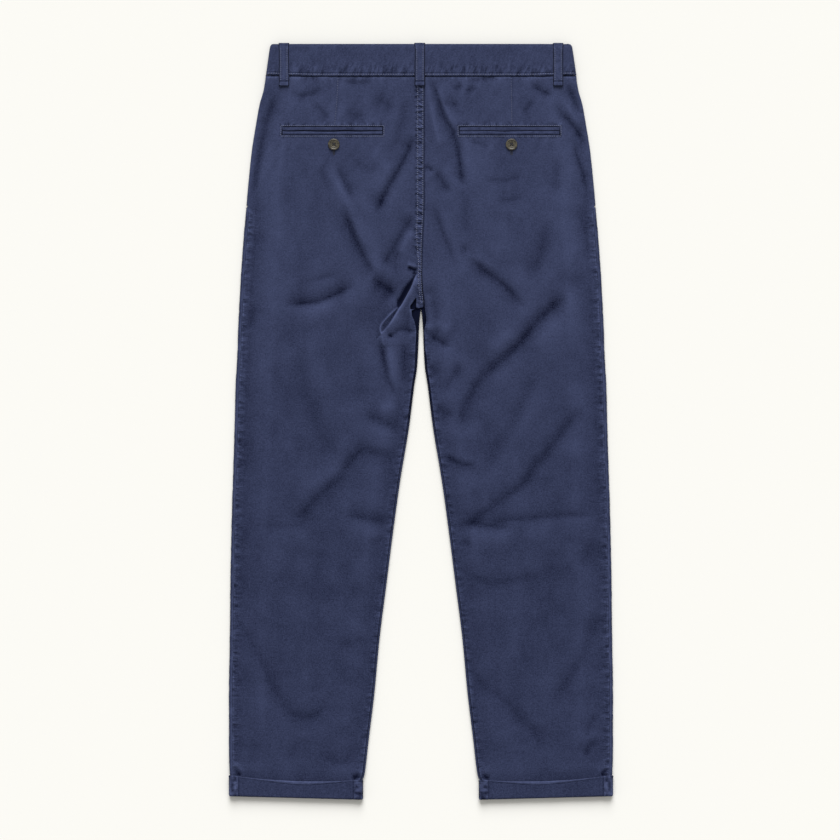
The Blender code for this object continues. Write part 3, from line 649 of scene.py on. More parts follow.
def back_height(x, down):
    """Height of the back's upper face, with its seams, creases and crumple."""
    x, down = np.broadcast_arrays(np.asarray(x, float), np.asarray(down, float))
    across = np.abs(x)
    side = np.where(x < seat_seam(down), -1, 1)
    fading = curve(LEFT_FADE_EDGE[:, 0], LEFT_FADE_EDGE[:, 1], down)
    left_inner = np.where(down < LEFT_FADE_EDGE[-1, 0], fading, back_inner(-1, down))
    inner = np.where(side < 0, -left_inner, back_inner(1, down))
    from_side = back_outer(down) - across
    from_inner = np.where(down < CROTCH, 60.0, across - inner)
    opening = smooth((down - CROTCH) / 50.0)
    outer_fade = smooth(from_side / 42.0)
    inner_fade = 1.0 - (1.0 - smooth(from_inner / 34.0)) * opening
    edge, middle = leg("top_edge", down), leg("top_mid", down)
    height = edge + (middle - edge) * outer_fade * inner_fade
    near_edge = smooth((from_side + 1.0) / 9.0) * (1.0 - (1.0 - smooth((from_inner + 1.0) / 8.0)) * opening)
    worn_flat = 1.0 - 0.32 * smooth((down - 400.0) / 50.0)
    height = height + crease_height(x, down, CREASES) * near_edge * worn_flat
    crumples = (0.34 * crumple(x, down, 46.0, 60.0, 3) + 0.20 * crumple(x, down, 19.0, 24.0, 4)
                + 0.09 * crumple(x, down, 8.0, 9.0, 5)
                + 0.15 * crumple(x + 0.5 * np.abs(down), down, 7.5, 19.0, 6) * smooth((250.0 - down) / 130.0))
    height = height + crumples * near_edge
    height = height + 0.50 * pucker(from_side, down, 11)
    height = height + 0.36 * pucker(np.where(opening > 0.0, from_inner, 60.0), down, 21, reach=4.5)
    from_waist = down - PANEL_TOP
    height = height - 1.4 * smooth((3.6 - from_waist) / 2.6) + 0.35 * pucker(from_waist, x, 31, reach=9.0)
    radius = edge_radius(down)
    over = np.clip(across - leg("half_width", down) + radius, 0.0, radius)
    height = height - radius + np.sqrt(np.maximum(radius ** 2 - over ** 2, 0.0))
    band = x - seat_seam(down)
    on_seat = on_seat_seam(down)
    felled = smooth((band + seat_band(down) + 1.2) / 1.4) * smooth((0.6 - band) / 0.8)
    height = height + 0.55 * felled * on_seat
    for dart_x, lean in ((-111.0, -0.06), (120.0, 0.015)):
        beside = x - dart_x - lean * (down - 45.0)
        height = height - 0.35 * bell(beside - 1.2, 1.3) * smooth((112.0 - down) / 20.0)
    ladder = pucker(band + SEAT_BAND / 2.0, down - 0.7 * band, 41, reach=6.5, pitch=6.0)
    height = height + 1.0 * on_seat * ladder * smooth((-0.4 - band) / 1.5)
    height = height + 0.32 * seat_rungs(band, down) * on_seat
    height = height - 0.5 * on_seat * bell(band - 0.5, 0.7)
    return height


def rubbed_and_shaded(height, spread):
    """How far each place stands above the cloth round it. As colour it makes crests paler and troughs darker:
    partly faded dye, partly painted crease shade.
    """
    padded = np.pad(height, spread, mode="edge")
    total = np.zeros_like(height)
    for a in range(2 * spread + 1):
        for b in range(2 * spread + 1):
            total += padded[a:a + height.shape[0], b:b + height.shape[1]]
    return height - total / (2 * spread + 1) ** 2


POCKET_DOWN = (110.0, 121.8)
POCKET_X = (50.6, 185.2)
BACK_COLUMNS, BACK_ROWS = 112, 424
COLUMN_KNOTS = (0, 14, 37, 85, 99, 112)
ROW_KNOTS = (0, 5, 41, 45, 53, 56, 60, 158, 224, 424)
ROW_DOWNS = (PANEL_TOP, 47.0, 106.0, *POCKET_DOWN, 126.0, 133.0, 285.0, 420.0, PANEL_END)


def back_rows(v):
    """Station of each row: close together at the waist seam, pocket and crotch."""
    return np.interp(v * BACK_ROWS, ROW_KNOTS, ROW_DOWNS)


def back_columns(u, width, side):
    """Distance from the inner seam. Columns crowd beside both seams, and two of
    them run along the ends of the pocket."""
    level = sum(POCKET_DOWN) / 2.0
    start = back_inner(side, np.array(level)) * side
    full = back_outer(level) - start
    first, last = 13.3, 9.6
    ends = [np.maximum((edge - start) / full * width, first + 2.0) for edge in POCKET_X]
    places = (0.0, first, ends[0], ends[1], width - last, width)
    index = u * BACK_COLUMNS
    distance = np.zeros_like(u)
    for k in range(len(COLUMN_KNOTS) - 1):
        low, high = COLUMN_KNOTS[k], COLUMN_KNOTS[k + 1]
        share = np.clip((index - low) / (high - low), 0.0, 1.0)
        distance = distance + share * (places[k + 1] - places[k])
    return distance


def in_pocket(centre):
    down = (WAIST_Y - centre.y) / MM
    return POCKET_DOWN[0] < down < POCKET_DOWN[1] and POCKET_X[0] < abs(centre.x) / MM < POCKET_X[1]


def back_wear_shade_and_gathers(x, down, inner, outer, height, near, wide):
    """Dye fade, painted light and shade, and gathers of the back's cloth; near and wide are counted in cells.
    """
    from_side, from_inner = np.abs(outer - x), np.abs(x - inner)
    below_hip, below_crotch = smooth((down - SIDE_SEAM_START) / 20.0), smooth((down - 350.0) / 30.0)
    side_worn = 0.42 * bell(from_side, 1.5) * below_hip
    inner_worn = 0.30 * bell(from_inner, 1.3) * below_crotch
    patchy = 0.65 + 0.5 * crumple(x * 0.0, down, 9.0, 6.0, 43)
    wear_and_shade = 0.38 - 0.12 * smooth((down - 120.0) / 600.0) + (side_worn + inner_worn) * patchy
    # Crease relief into colour: painted shade in troughs and painted light on crests, partly faded dye as
    # well.
    wear_and_shade += 0.26 * rubbed_and_shaded(height, near) + 0.16 * rubbed_and_shaded(height, wide)
    wear_and_shade += 0.12 * bell(down - PANEL_TOP, 3.0)
    gathers = 4.2 * bell(from_side, 8.0) * below_hip
    gathers += 3.6 * bell(from_inner, 6.0) * below_crotch
    waist = 3.4 * bell(down - PANEL_TOP, 9.0)
    frame_edge = np.minimum(np.abs(down - 108.5), np.abs(down - 123.5)) + 4.0 * np.maximum(
        np.abs(np.abs(x) - 118.0) - 70.0, 0.0)
    waist = waist + 4.5 * bell(frame_edge, 3.5)
    band = x - seat_seam(down)
    on_seat = on_seat_seam(down)
    slanted = 6.0 * smooth((band + seat_band(down) + 2.5) / 2.5) * smooth((-0.6 - band) / 1.2) * on_seat
    # Painted light and shade on the slanted rungs of the twisted seat seam, and a painted shadow line just
    # right of the seam.
    wear_and_shade += 0.26 * seat_rungs(band, down) * on_seat
    wear_and_shade -= 0.24 * bell(band - 0.7, 0.8) * on_seat
    # Painted shade in a broad patch left of the crotch and a faint painted light patch right of it.
    wear_and_shade -= 0.20 * np.exp(-((x + 42.0) / 28.0) ** 2 - ((down - 332.0) / 28.0) ** 2)
    wear_and_shade += 0.06 * np.exp(-((x - 40.0) / 30.0) ** 2 - ((down - 330.0) / 40.0) ** 2)
    return wear_and_shade, gathers, waist, slanted


# Area round the crotch where the left back is pulled up into one sharp fold.
FOLD_LEFT, FOLD_TOP, FOLD_LOW = -66.0, 284.0, 406.0


def under_fold(x, down):
    inside = smooth((x - FOLD_LEFT - 7.0) / 8.0) * smooth((seat_seam(down) - x) / 0.5)
    return inside * smooth((down - FOLD_TOP - 7.0) / 8.0) * smooth((FOLD_LOW - 7.0 - down) / 8.0)


for word, side in (("left", -1), ("right", 1)):

    def place_back(u, v, side=side):
        down = back_rows(v)
        inner, outer = back_inner(side, down), side * back_outer(down)
        if side < 0:
            inner = inner - 2.0 * smooth((down - CROTCH + 6.0) / 6.0) * smooth((FOLD_LOW - 8.0 - down) / 8.0)
        x = inner + side * back_columns(u, np.abs(outer - inner), side)
        height = back_height(x, down)
        wear_shade_and_gathers = back_wear_shade_and_gathers(x, down, inner, outer, height, 3, 9)
        if side < 0:
            height = height - 3.6 * under_fold(x, down)
        return x, down + hem_slant(np.abs(x), down), height, wear_shade_and_gathers[0], x, down, *wear_shade_and_gathers[1:]

    panel = cloth_sheet("back_" + word, BACK_COLUMNS, BACK_ROWS, place_back, CLOTH, navy,
                        flip=side > 0, drop=in_pocket)
    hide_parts("back_panel_" + word)

# Crotch fold. Where the seams meet, the left back stands up in one thin crest above
# a hollow and turns back beside it. In the real pair it is the left back's own cloth;
# here it is a patch with finer cells that lies over that panel.

FOLD_CREST = ((-3.5, 302), (-8.5, 314), (-13.5, 325), (-19, 335), (-24.6, 345), (-33.7, 361),
              (-41.7, 373.5), (-52.5, 386))
FOLD_RETURN = ((-53, 386), (-54.3, 379.5), (-52, 373), (-47.7, 367.5), (-37.6, 357), (-28, 348))
FOLD_CREASES = (
    (((-47, 392), (-37, 386), (-27, 380), (-15, 382), (-9, 387)), -1.6, 3, 8, 1.4, 10),
    (((-44, 386.5), (-37, 391)), -0.8, 1.0, 1.3, 1.3, 3),
    (((-20, 293), (-12, 295.5), (-6, 299)), 1.2, 1.3, 2.0, 1.3, 5),
    (((-19, 297), (-11, 299.5), (-5, 303)), -2.2, 2.0, 1.2, 1.3, 5),
    (((-12, 305), (-8, 306), (-5, 307.5)), -1.0, 1.2, 1.2, 1.3, 3),
    (((-13, 333), (-22, 352), (-31, 367)), -0.8, 5, 6, 1.6, 12),
    (((-52, 387), (-51, 396), (-48, 405)), 0.8, 1.2, 1.6, 1.4, 8),
)
FOLD_COLUMNS, FOLD_ROWS = 112, 184
FOLD_SPLIT, FOLD_EVEN = 0.70, -16.0


def crotch_hole(x, down):
    """1 in the opening left of the seam's end, which is sunk and painted near-black as shade, 0 on the cloth
    round it.
    """
    upper = smooth((down - 338.5 + 1.45 * (x + 6.8)) / 1.6 + 0.5)
    return upper * smooth((-6.2 - x) / 1.0) * smooth((353.5 - down) / 1.5) * smooth((x + 14.5) / 1.0)


def fold_height(x, down):
    """Height of the cloth round the crotch fold, how deep it is in its hollow, and a painted highlight along
    the crest and the turned-back edge.
    """
    x, down = np.broadcast_arrays(np.asarray(x, float), np.asarray(down, float))
    height = back_height(x, down) + crease_height(x, down, FOLD_CREASES)
    away, side, travel = beside_path(x, down, along_path(FOLD_CREST, 70))
    strength = smooth(travel / 0.14) * (1.0 - 0.6 * smooth((travel - 0.55) / 0.45))
    left = smooth(side / 0.6 + 0.5)
    flap = np.exp(-((away / 13.0) ** 1.5))
    overhang = bell(away, 1.1)
    height = height + 2.9 * strength * (flap * (1.0 - left) + overhang * left)
    along = smooth((travel - 0.04) / 0.30) * smooth((0.60 - travel) / 0.12)
    deep = along * left * bell(away - 2.0, 2.2 + 3.4 * along)
    height = height - 3.0 * deep
    turn, _, turned = beside_path(x, down, along_path(FOLD_RETURN, 60))
    returned = smooth(turned / 0.05 + 0.5) * smooth((1.0 - turned) / 0.2)
    height = height + 1.3 * np.exp(-((turn / 1.2) ** 1.6)) * returned
    # Painted highlight along the crest and along the turned-back edge.
    painted_crest_highlight = 0.34 * strength * bell(away, 0.9)
    painted_crest_highlight = painted_crest_highlight + 0.20 * bell(turn, 0.9) * smooth((1.0 - turned) / 0.2)
    return height - 4.5 * crotch_hole(x, down), deep, painted_crest_highlight


def place_fold(u, v):
    down = FOLD_TOP + (FOLD_LOW - FOLD_TOP) * v
    inner = back_inner(-1, down)
    share = np.interp(u, (0.0, FOLD_SPLIT, 1.0), (0.0, 1.0, 1.0))
    x = FOLD_LEFT + (FOLD_EVEN - FOLD_LEFT) * share
    x = x + (inner - FOLD_EVEN) * np.clip((u - FOLD_SPLIT) / (1.0 - FOLD_SPLIT), 0.0, 1.0)
    height, deep, painted_crest_highlight = fold_height(x, down)
    rim = smooth((x - FOLD_LEFT) / 10.0) * smooth((down - FOLD_TOP) / 10.0) * smooth((FOLD_LOW - down) / 10.0)
    wear_and_shade, *gathers = back_wear_shade_and_gathers(x, down, inner, -back_outer(down), height, 8, 24)
    # Painted shade in the hollow and near-black painted shade in the opening, with the painted highlight on
    # the crest.
    wear_and_shade = wear_and_shade - 0.42 * deep - 1.5 * crotch_hole(x, down) + painted_crest_highlight
    return x, down, np.maximum(height + 0.06 - 0.34 * (1.0 - rim) ** 2, 1.0), wear_and_shade, x, down, *gathers


fold = cloth_sheet("back_left_crotch_fold", FOLD_COLUMNS, FOLD_ROWS, place_fold, CLOTH, navy, flip=True)
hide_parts("back_panel_left")

# Front panels. They lie on the table and turn up round both edges of the leg, so
# the side seam shows just inside the outer edge. The slanted side pocket is cut
# out of the top, and its mouth runs into the side seam.

MOUTH_END = 215.0
MOUTH_SPAN = 50.0


def lid(down):
    """Run of cloth between the side seam and the start of the rounded edge."""
    inset, radius = seam_inset(down), edge_radius(down)
    rounded = -radius * np.arcsin(np.clip(1.0 - inset / radius, 0.0, 1.0))
    return np.where(inset > radius, inset - radius, rounded)


def curl_run(down):
    return lid(down) + math.pi * edge_radius(down)


def mouth_inset(down):
    share = (MOUTH_END - down) / (MOUTH_END - PANEL_TOP)
    return np.where(down > MOUTH_END, 0.0, curl_run(down) + share * MOUTH_SPAN)


def rest_height(across, down):
    """Height of the underside, which lifts a little under the seat and the waist."""
    outer = smooth((back_outer(down) - across) / 45.0)
    inner = smooth((across - leg("half_gap", down) - leg("inset", down)) / 32.0)
    fade = outer * (1.0 - (1.0 - inner) * leg("curl", down))
    edge, middle = leg("rest_edge", down), leg("rest_mid", down)
    soft = 0.5 + 0.5 * crumple(across, down, 52.0, 70.0, 61)
    return edge + (middle - edge + 0.5 * soft) * fade


def outer_point(down, from_seam):
    """Across and height of a place measured from the side seam round the edge."""
    radius = edge_radius(down)
    rest, top = leg("rest_edge", down), leg("top_edge", down)
    centre = leg("half_width", down) - radius
    flat = lid(down)
    turn = np.clip((from_seam - flat) / radius, 0.0, math.pi)
    beyond = np.maximum(from_seam - flat - math.pi * radius, 0.0)
    across = np.where(from_seam < flat, centre - flat + from_seam, centre + radius * np.sin(turn) - beyond)
    height = rest + radius * (1.0 + np.cos(turn))
    return across, np.where(beyond > 0.0, rest_height(across, down), height)


def inner_strip(down, share):
    """The strip at the inner edge, flat above the crotch and turned up below it."""
    length = math.pi * edge_radius(down)
    turn = np.maximum(math.pi * leg("curl", down), 0.02)
    radius = length / turn
    start = leg("half_gap", down) + radius * np.sin(np.minimum(turn, math.pi / 2.0))
    angle = turn * (1.0 - share)
    return start - radius * np.sin(angle), rest_height(start, down) + radius * (1.0 - np.cos(angle)), start


STRIP, CURL = 8, 14
FRONT_COLUMNS, FRONT_ROWS = 64, 250

for word, side in (("left", -1), ("right", 1)):

    def place_front(u, v, side=side):
        down = PANEL_TOP + (PANEL_END - PANEL_TOP) * v
        index = u * FRONT_COLUMNS
        strip_x, strip_z, start = inner_strip(down, np.minimum(index / STRIP, 1.0))
        from_end = FRONT_COLUMNS - index
        curl_length = curl_run(down)
        ground = leg("half_width", down) - edge_radius(down) - start
        from_seam = np.where(from_end <= CURL, curl_length * from_end / CURL,
                             curl_length + ground * (from_end - CURL) / (FRONT_COLUMNS - STRIP - CURL))
        from_seam = np.maximum(from_seam, mouth_inset(down) + 0.25 * from_end)
        x, z = outer_point(down, from_seam)
        z = z + 0.30 * pucker(from_seam * 0.6, down, 11) * smooth((6.0 - from_seam) / 4.0)
        x = x + 0.25 * crumple(from_seam, down, 9.0, 5.0, 71) * smooth((12.0 - from_seam) / 8.0)
        x = np.where(index < STRIP, strip_x, x)
        z = np.where(index < STRIP, strip_z, z)
        wear_and_shade = 0.30 + 0.30 * bell(from_seam, 1.8) * (down > SIDE_SEAM_START)
        wear_and_shade = wear_and_shade + 0.15 * crumple(from_seam, down, 6.0, 5.0, 72) * (from_seam < 9.0)
        # Painted shade: the front cloth seen in the crotch opening is made near-black, and the turned-up
        # inner strip darker down the thigh.
        painted_well_shade = smooth((down - 336.0) / 8.0) * smooth((404.0 - down) / 16.0) * smooth((16.0 - x) / 4.0)
        shaded = smooth((down - 350.0) / 20.0) * smooth((560.0 - down) / 120.0) * (index < STRIP)
        wear_and_shade = wear_and_shade - 1.4 * painted_well_shade - 0.6 * shaded
        return side * x, down + hem_slant(x, down), z, wear_and_shade, side * (start + index), down, 0.5

    panel = cloth_sheet("front_" + word, FRONT_COLUMNS, FRONT_ROWS, place_front, CLOTH, navy, flip=side < 0)
    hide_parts("front_panel_" + word)

# Side pocket facings and the fly shield. The facing is the piece of cloth seen in
# the slanted pocket mouth; the shield closes the front opening from inside.

FACING_LAP = 15.0
INNER_STEP = CLOTH + 0.4

for word, side in (("left", -1), ("right", 1)):

    def place_facing(u, v, side=side):
        down = PANEL_TOP + (MOUTH_END - PANEL_TOP) * v
        mouth = mouth_inset(down)
        lap = np.clip((mouth - 17.0) * 0.8, -0.5, FACING_LAP)
        run = curl_run(down)
        last = np.maximum(mouth + lap, run + 0.3)
        from_seam = np.where(u < 0.45, np.minimum(run * u / 0.45, last * 0.98),
                             run + (last - run) * (u - 0.45) / 0.55)
        x, z = outer_point(down, from_seam)
        sunk = smooth((from_seam - mouth + 9.0) / 7.0) * (mouth > 15.0)
        z = z + sunk * INNER_STEP * smooth((from_seam - run) / 3.0)
        z = z + 0.30 * pucker(from_seam * 0.6, down, 11) * smooth((6.0 - from_seam) / 4.0)
        # Darker base than the panels, on the shaded twill: painted shade in the pocket mouth; the seam edge
        # is paler.
        wear_and_shade = 0.2 + 0.45 * bell(from_seam, 1.8)
        return side * x, down, z, wear_and_shade, side * from_seam, down

    facing = cloth_sheet("facing_" + word, 36, 60, place_facing, CLOTH, navy_shaded, flip=side > 0)
    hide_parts("pocket_facing_" + word)

FLY_LOW, FLY_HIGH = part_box("fly_shield")
FLY_DOWN = ((WAIST_Y - FLY_HIGH.y) / MM, (WAIST_Y - FLY_LOW.y) / MM)


def place_fly(u, v):
    down = FLY_DOWN[0] + (FLY_DOWN[1] - FLY_DOWN[0]) * v
    x = (FLY_LOW.x + (FLY_HIGH.x - FLY_LOW.x) * u) / MM
    x = x * (1.0 - 0.25 * smooth((down - 150.0) / 80.0) * u)
    height = rest_height(np.abs(x), down) + INNER_STEP
    # The shield's value is set low: painted shade under the front opening.
    return x, down, height, np.full_like(x, 0.15), x, down


shield = cloth_sheet("fly_inner", 12, 40, place_fly, CLOTH, navy_shaded)
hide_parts("fly_shield")

# Waistband. One straight strip folded double and sewn over the tops of the panels,
# its right end tucked behind the left at the front, with a row of edge stitching along its lower edge.

BAND_HALF_TOP, BAND_HALF_SEAM = 201.0, 207.0
BAND_CORNER = 5.0
BAND_REST = 2.9
BAND_EDGE_TOP, BAND_MIDDLE_TOP = 7.2, 9.3
BAND_THICK = 1.5
OVERLAP_END, UNDERLAP_END = 18.0, -25.0
SEAM_ROW = BAND_LOW - 2.4


def band_half(down):
    above = np.clip(BAND_CORNER - down, 0.0, None)
    corner = BAND_CORNER - np.sqrt(np.maximum(BAND_CORNER ** 2 - above ** 2, 0.0))
    return BAND_HALF_TOP + (BAND_HALF_SEAM - BAND_HALF_TOP) * down / BAND_LOW - 0.7 * corner


def band_height(x, down):
    """Height of the waistband's upper face at the back."""
    x, down = np.broadcast_arrays(np.asarray(x, float), np.asarray(down, float))
    body = smooth((BAND_HALF_TOP - np.abs(x)) / 45.0)
    height = BAND_EDGE_TOP + (BAND_MIDDLE_TOP - BAND_EDGE_TOP) * body
    height = height - 0.9 * bell(down, 1.1) - 0.8 * bell(BAND_LOW - down, 0.8)
    height = height - 0.45 * bell(down - SEAM_ROW + 1.2, 0.7)
    height = height - 0.18 * bell(down - 2.6, 0.8)
    ripple = crumple(x, down, 6.0, 14.0, 81) * smooth((down - 20.0) / 16.0)
    height = height + 0.26 * ripple + 0.30 * crumple(x + down, down, 30.0, 17.0, 82)
    return height + 0.10 * crumple(x, down, 11.0, 8.0, 83)


BAND_RUN_COLUMNS = 300
BAND_DOWNS = np.array((0.0, 0.35, 1.0, 2.0, 2.6, 3.2, 4.5, 7.0, 10.0, 14.0, 18.0, 22.0, 26.0, 29.5,
                       32.5, 35.0, 36.6, 37.4, 38.0, 38.7, 39.4, 40.2, 40.8, 41.0))


def band_sag(x, down):
    """The band's lower edge drops a little between the side edges."""
    return 2.2 * smooth((208.0 - np.abs(x)) / 70.0) * np.clip(down / BAND_LOW, 0.0, 1.0) ** 3


def place_band(u, v):
    down = np.interp(v, np.linspace(0.0, 1.0, len(BAND_DOWNS)), BAND_DOWNS)
    radius = (BAND_EDGE_TOP - BAND_REST) / 2.0
    edge = band_half(down) - radius
    arc = math.pi * radius
    left_run = edge + OVERLAP_END
    right_run = edge - UNDERLAP_END
    marks = (left_run, arc, 2.0 * edge, arc, right_run)
    ends = np.cumsum(np.stack(np.broadcast_arrays(*marks)), axis=0)
    at = u * ends[-1]
    x = OVERLAP_END - at
    z = np.full_like(x, BAND_REST)
    turn = np.clip((at - ends[0]) / radius, 0.0, math.pi)
    on = at > ends[0]
    x = np.where(on, -edge - radius * np.sin(turn), x)
    z = np.where(on, BAND_REST + radius * (1.0 - np.cos(turn)), z)
    on = at > ends[1]
    top_x = at - ends[1] - edge
    x = np.where(on, top_x, x)
    z = np.where(on, band_height(np.clip(top_x, -220.0, 220.0), down), z)
    turn = np.clip((at - ends[2]) / radius, 0.0, math.pi)
    on = at > ends[2]
    x = np.where(on, edge + radius * np.sin(turn), x)
    z = np.where(on, BAND_REST + radius * (1.0 + np.cos(turn)), z)
    on = at > ends[3]
    low_x = edge - (at - ends[3])
    x = np.where(on, low_x, x)
    tuck = smooth((OVERLAP_END + 10.0 - low_x) / 7.0) * (BAND_THICK + 0.3)
    z = np.where(on, BAND_REST + tuck, z)
    underside = z < BAND_REST + 0.01
    z = z + np.where(underside, 0.5 * bell(BAND_LOW - down, 1.0) + 0.4 * bell(down, 1.1), 0.0)
    # Painted light and shade along the band: darker at the top edge with a painted pale line just below it, a
    # pale stitch row with painted shade in its groove above, and a painted shadow line at the lower edge.
    wear_and_shade = 0.375 - 0.16 * bell(down, 1.0) + 0.08 * bell(down - 2.4, 0.9)
    wear_and_shade = wear_and_shade + 0.14 * bell(down - SEAM_ROW, 0.9) - 0.16 * bell(down - SEAM_ROW + 1.5, 0.6)
    wear_and_shade = wear_and_shade - 0.25 * bell(BAND_LOW - down, 0.5)
    low_gather = 1.0 + 3.2 * smooth((down - 22.0) / 12.0)
    return x, down + band_sag(x, down), z, wear_and_shade, at, down, 0.0, low_gather


band = cloth_sheet("waist_band", BAND_RUN_COLUMNS, 46, place_band, BAND_THICK, navy, flip=True)
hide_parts("waistband")

# Stitching. Tonal navy thread in short lock stitches, each a small raised bead
# that follows the cloth under it.

THREAD = 0.50
STITCH = 1.9
STITCH_GAP = 1.0
THREAD_COLOUR = (0.125, 0.143, 0.240, 1.0)

thread = bpy.data.materials.new("navy_thread")
thread.use_nodes = True
thread_shader = thread.node_tree.nodes["Principled BSDF"]
thread_shader.inputs["Roughness"].default_value = 0.6
thread_shader.inputs["Sheen Weight"].default_value = 0.2
thread_place = thread.node_tree.nodes.new("ShaderNodeTexCoord")
thread_mottle = thread.node_tree.nodes.new("ShaderNodeTexNoise")
thread_mottle.inputs["Scale"].default_value = 600.0
link(thread.node_tree, thread_place, "Object", thread_mottle, "Vector")
thread_ramp = thread.node_tree.nodes.new("ShaderNodeMix")
thread_ramp.data_type = "RGBA"
thread_ramp.inputs["A"].default_value = tuple(0.7 * c for c in THREAD_COLOUR[:3]) + (1.0,)
thread_ramp.inputs["B"].default_value = tuple(1.3 * c for c in THREAD_COLOUR[:3]) + (1.0,)
link(thread.node_tree, thread_mottle, "Fac", thread_ramp, "Factor")
link(thread.node_tree, thread_ramp, "Result", thread_shader, "Base Color")

dark_thread = thread.copy()
dark_thread.name = "dark_navy_thread"
for node in dark_thread.node_tree.nodes:
    if node.bl_idname == "ShaderNodeMix":
        node.inputs["A"].default_value = (0.007, 0.008, 0.016, 1.0)
        node.inputs["B"].default_value = (0.020, 0.023, 0.042, 1.0)


def sew(name, runs, surface, stitch=STITCH, gap=STITCH_GAP, radius=THREAD, sink=0.1, yarn=thread):
    """Rows of stitches along runs of (x, down) points, laid on a surface."""
    bm = bmesh.new()
    for run in runs:
        points = np.array(run, dtype=float)
        reach = np.concatenate(([0.0], np.cumsum(np.hypot(*np.diff(points, axis=0).T))))
        count = max(int(reach[-1] / (stitch + gap)), 1)
        pitch = reach[-1] / count
        starts = np.arange(count) * pitch + (pitch - stitch) / 2.0
        ends = []
        for at in (starts, starts + stitch):
            x, down = (np.interp(at, reach, points[:, k]) for k in (0, 1))
            height = surface(x, down) + radius - sink
            ends.append(np.stack((x * MM, WAIST_Y - down * MM, height * MM), axis=1))
        for first, last in zip(*ends):
            axis = Vector(last - first)
            middle = Vector((first + last) / 2.0)
            half = axis.length / 2.0
            turn = axis.to_track_quat("X", "Z").to_matrix().to_4x4()
            size = Matrix.Diagonal((half * 1.05, radius * MM, radius * MM, 1.0))
            bmesh.ops.create_icosphere(bm, subdivisions=1, radius=1.0,
                                       matrix=Matrix.Translation(middle) @ turn @ size)
    add_piece(name, mesh_of(bm, name), yarn)


sag_places = np.linspace(-204.0, 204.0, 60)
sag_row = list(zip(sag_places, SEAM_ROW + band_sag(sag_places, SEAM_ROW)))
sew("stitches_waistband", [sag_row], lambda x, down: band_height(x, np.minimum(down, SEAM_ROW)),
    stitch=2.0, gap=1.3, radius=0.62)

seat_rows = []
for share in (0.16, 0.84):
    downs = np.linspace(46.0, 344.0, 40)
    seat_rows.append(list(zip(seat_seam(downs) - share * seat_band(downs), downs)))


def seat_face(x, down):
    return np.where(down > FOLD_TOP + 6.0, fold_height(x, down)[0] + 0.1, back_height(x, down))


sew("stitches_seat_seam", seat_rows, seat_face)

dart_rows = [[(-110.5, 45.0), (-112.0, 76.0), (-115.0, 107.0)], [(120.0, 45.0), (121.0, 107.0)]]
sew("stitches_darts", dart_rows, back_height, stitch=1.7, gap=1.3, radius=0.34)

# Belt loops. Folded strips of twill with an edge stitch down each side, turned
# over the waistband's top edge and tacked through a fold at the lower end.

LOOP_WIDTH, LOOP_THICK = 13.4, 1.3
LOOP_FOLD = 5.4


def loop_profile(down, low):
    """Extra height of a loop along its length: turned top, flat run, folded end."""
    fold = smooth((down - low + LOOP_FOLD + 0.6) / 0.8) * 0.9
    groove = bell(down - low + LOOP_FOLD + 0.9, 0.7) * 0.7
    head = bell(down + 0.6, 1.6) * -1.1
    return fold - groove + head


def make_loop(name, node, seed):
    lowest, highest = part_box(node)
    centre = (lowest.x + highest.x) / 2.0 / MM
    top, low = (WAIST_Y - highest.y) / MM, (WAIST_Y - lowest.y) / MM
    upper = lowest.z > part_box("waistband")[0].z
    top = top if upper else 0.4

    def place_loop(u, v):
        down = top + (low - top) * v
        lean = 0.3 * crumple(down, down * 0.0, 17.0, 9.0, seed)
        wide = LOOP_WIDTH * (1.0 - 0.03 * crumple(down, u * 0.0, 9.0, 9.0, seed)) + 0.8 * (down < 3.2)
        x = centre + wide * (u - 0.5) + lean
        edge = np.abs(u - 0.5) * 2.0
        rib = 0.30 * bell(edge - 0.78, 0.12) - 0.30 * bell(edge - 0.60, 0.08)
        rib = rib - 1.3 * smooth((edge - 0.86) / 0.14)
        rib = rib + 0.16 * crumple(x, down, 4.0, 5.0, seed + 1)
        if upper:
            flat = np.maximum(band_height(centre, np.clip(down, 3.0, 36.0)),
                              back_height(centre, PANEL_TOP + 6.0))
            height = flat + 0.5 + LOOP_THICK + loop_profile(down, low) + rib
            height = height - 1.0 * smooth((down - low + 0.9) / 0.9)
        else:
            height = lowest.z / MM + 0.3 - 0.3 * rib
        # Painted light and shade on the loop: pale turns at the top and at the folded end, painted shade over
        # the band's top edge and in the fold's groove, and a painted contact shadow along its sides and lower
        # end (rim).
        wear_and_shade = 0.43 + 0.12 * bell(edge - 0.72, 0.12)
        wear_and_shade = wear_and_shade + 0.30 * bell(down - low + 3.0, 1.2) * edge ** 2
        wear_and_shade = wear_and_shade + 0.35 * bell(down - 5.0, 1.8) * edge ** 2 - 0.18 * smooth((2.8 - down) / 1.5)
        wear_and_shade = wear_and_shade - 0.35 * bell(down - low + LOOP_FOLD + 0.9, 0.8)
        wear_and_shade = wear_and_shade + 0.10 * crumple(x, down, 3.5, 3.5, seed + 2)
        rim = np.maximum(smooth((edge - 0.80) / 0.12), smooth((down - low + 1.0) / 0.7))
        return x, down, height, wear_and_shade - 0.75 * rim, x, down, 0.5

    loop = cloth_sheet(name, 24, 76, place_loop, LOOP_THICK, navy, flip=upper)
    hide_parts(node)

    if upper:
        rows = [[(centre + across, 5.5), (centre + across, low - LOOP_FOLD - 1.8)] for across in (-4.1, 4.1)]
        level = band_height(centre, 30.0) + 0.5 + LOOP_THICK

        def loop_face(x, down):
            return np.full_like(x, level)

        sew("stitches_" + name, rows, loop_face, stitch=1.9, gap=0.9, radius=0.40)


for order, place in enumerate(("left", "centre", "right", "front_left", "front_right")):
    make_loop("loop_" + place, "belt_loop_" + place, 100 + 7 * order)

# Welt pockets. Two folded lips of twill face each other across the pocket mouth;
# the upper one is deeper, and both are caught down at their ends.

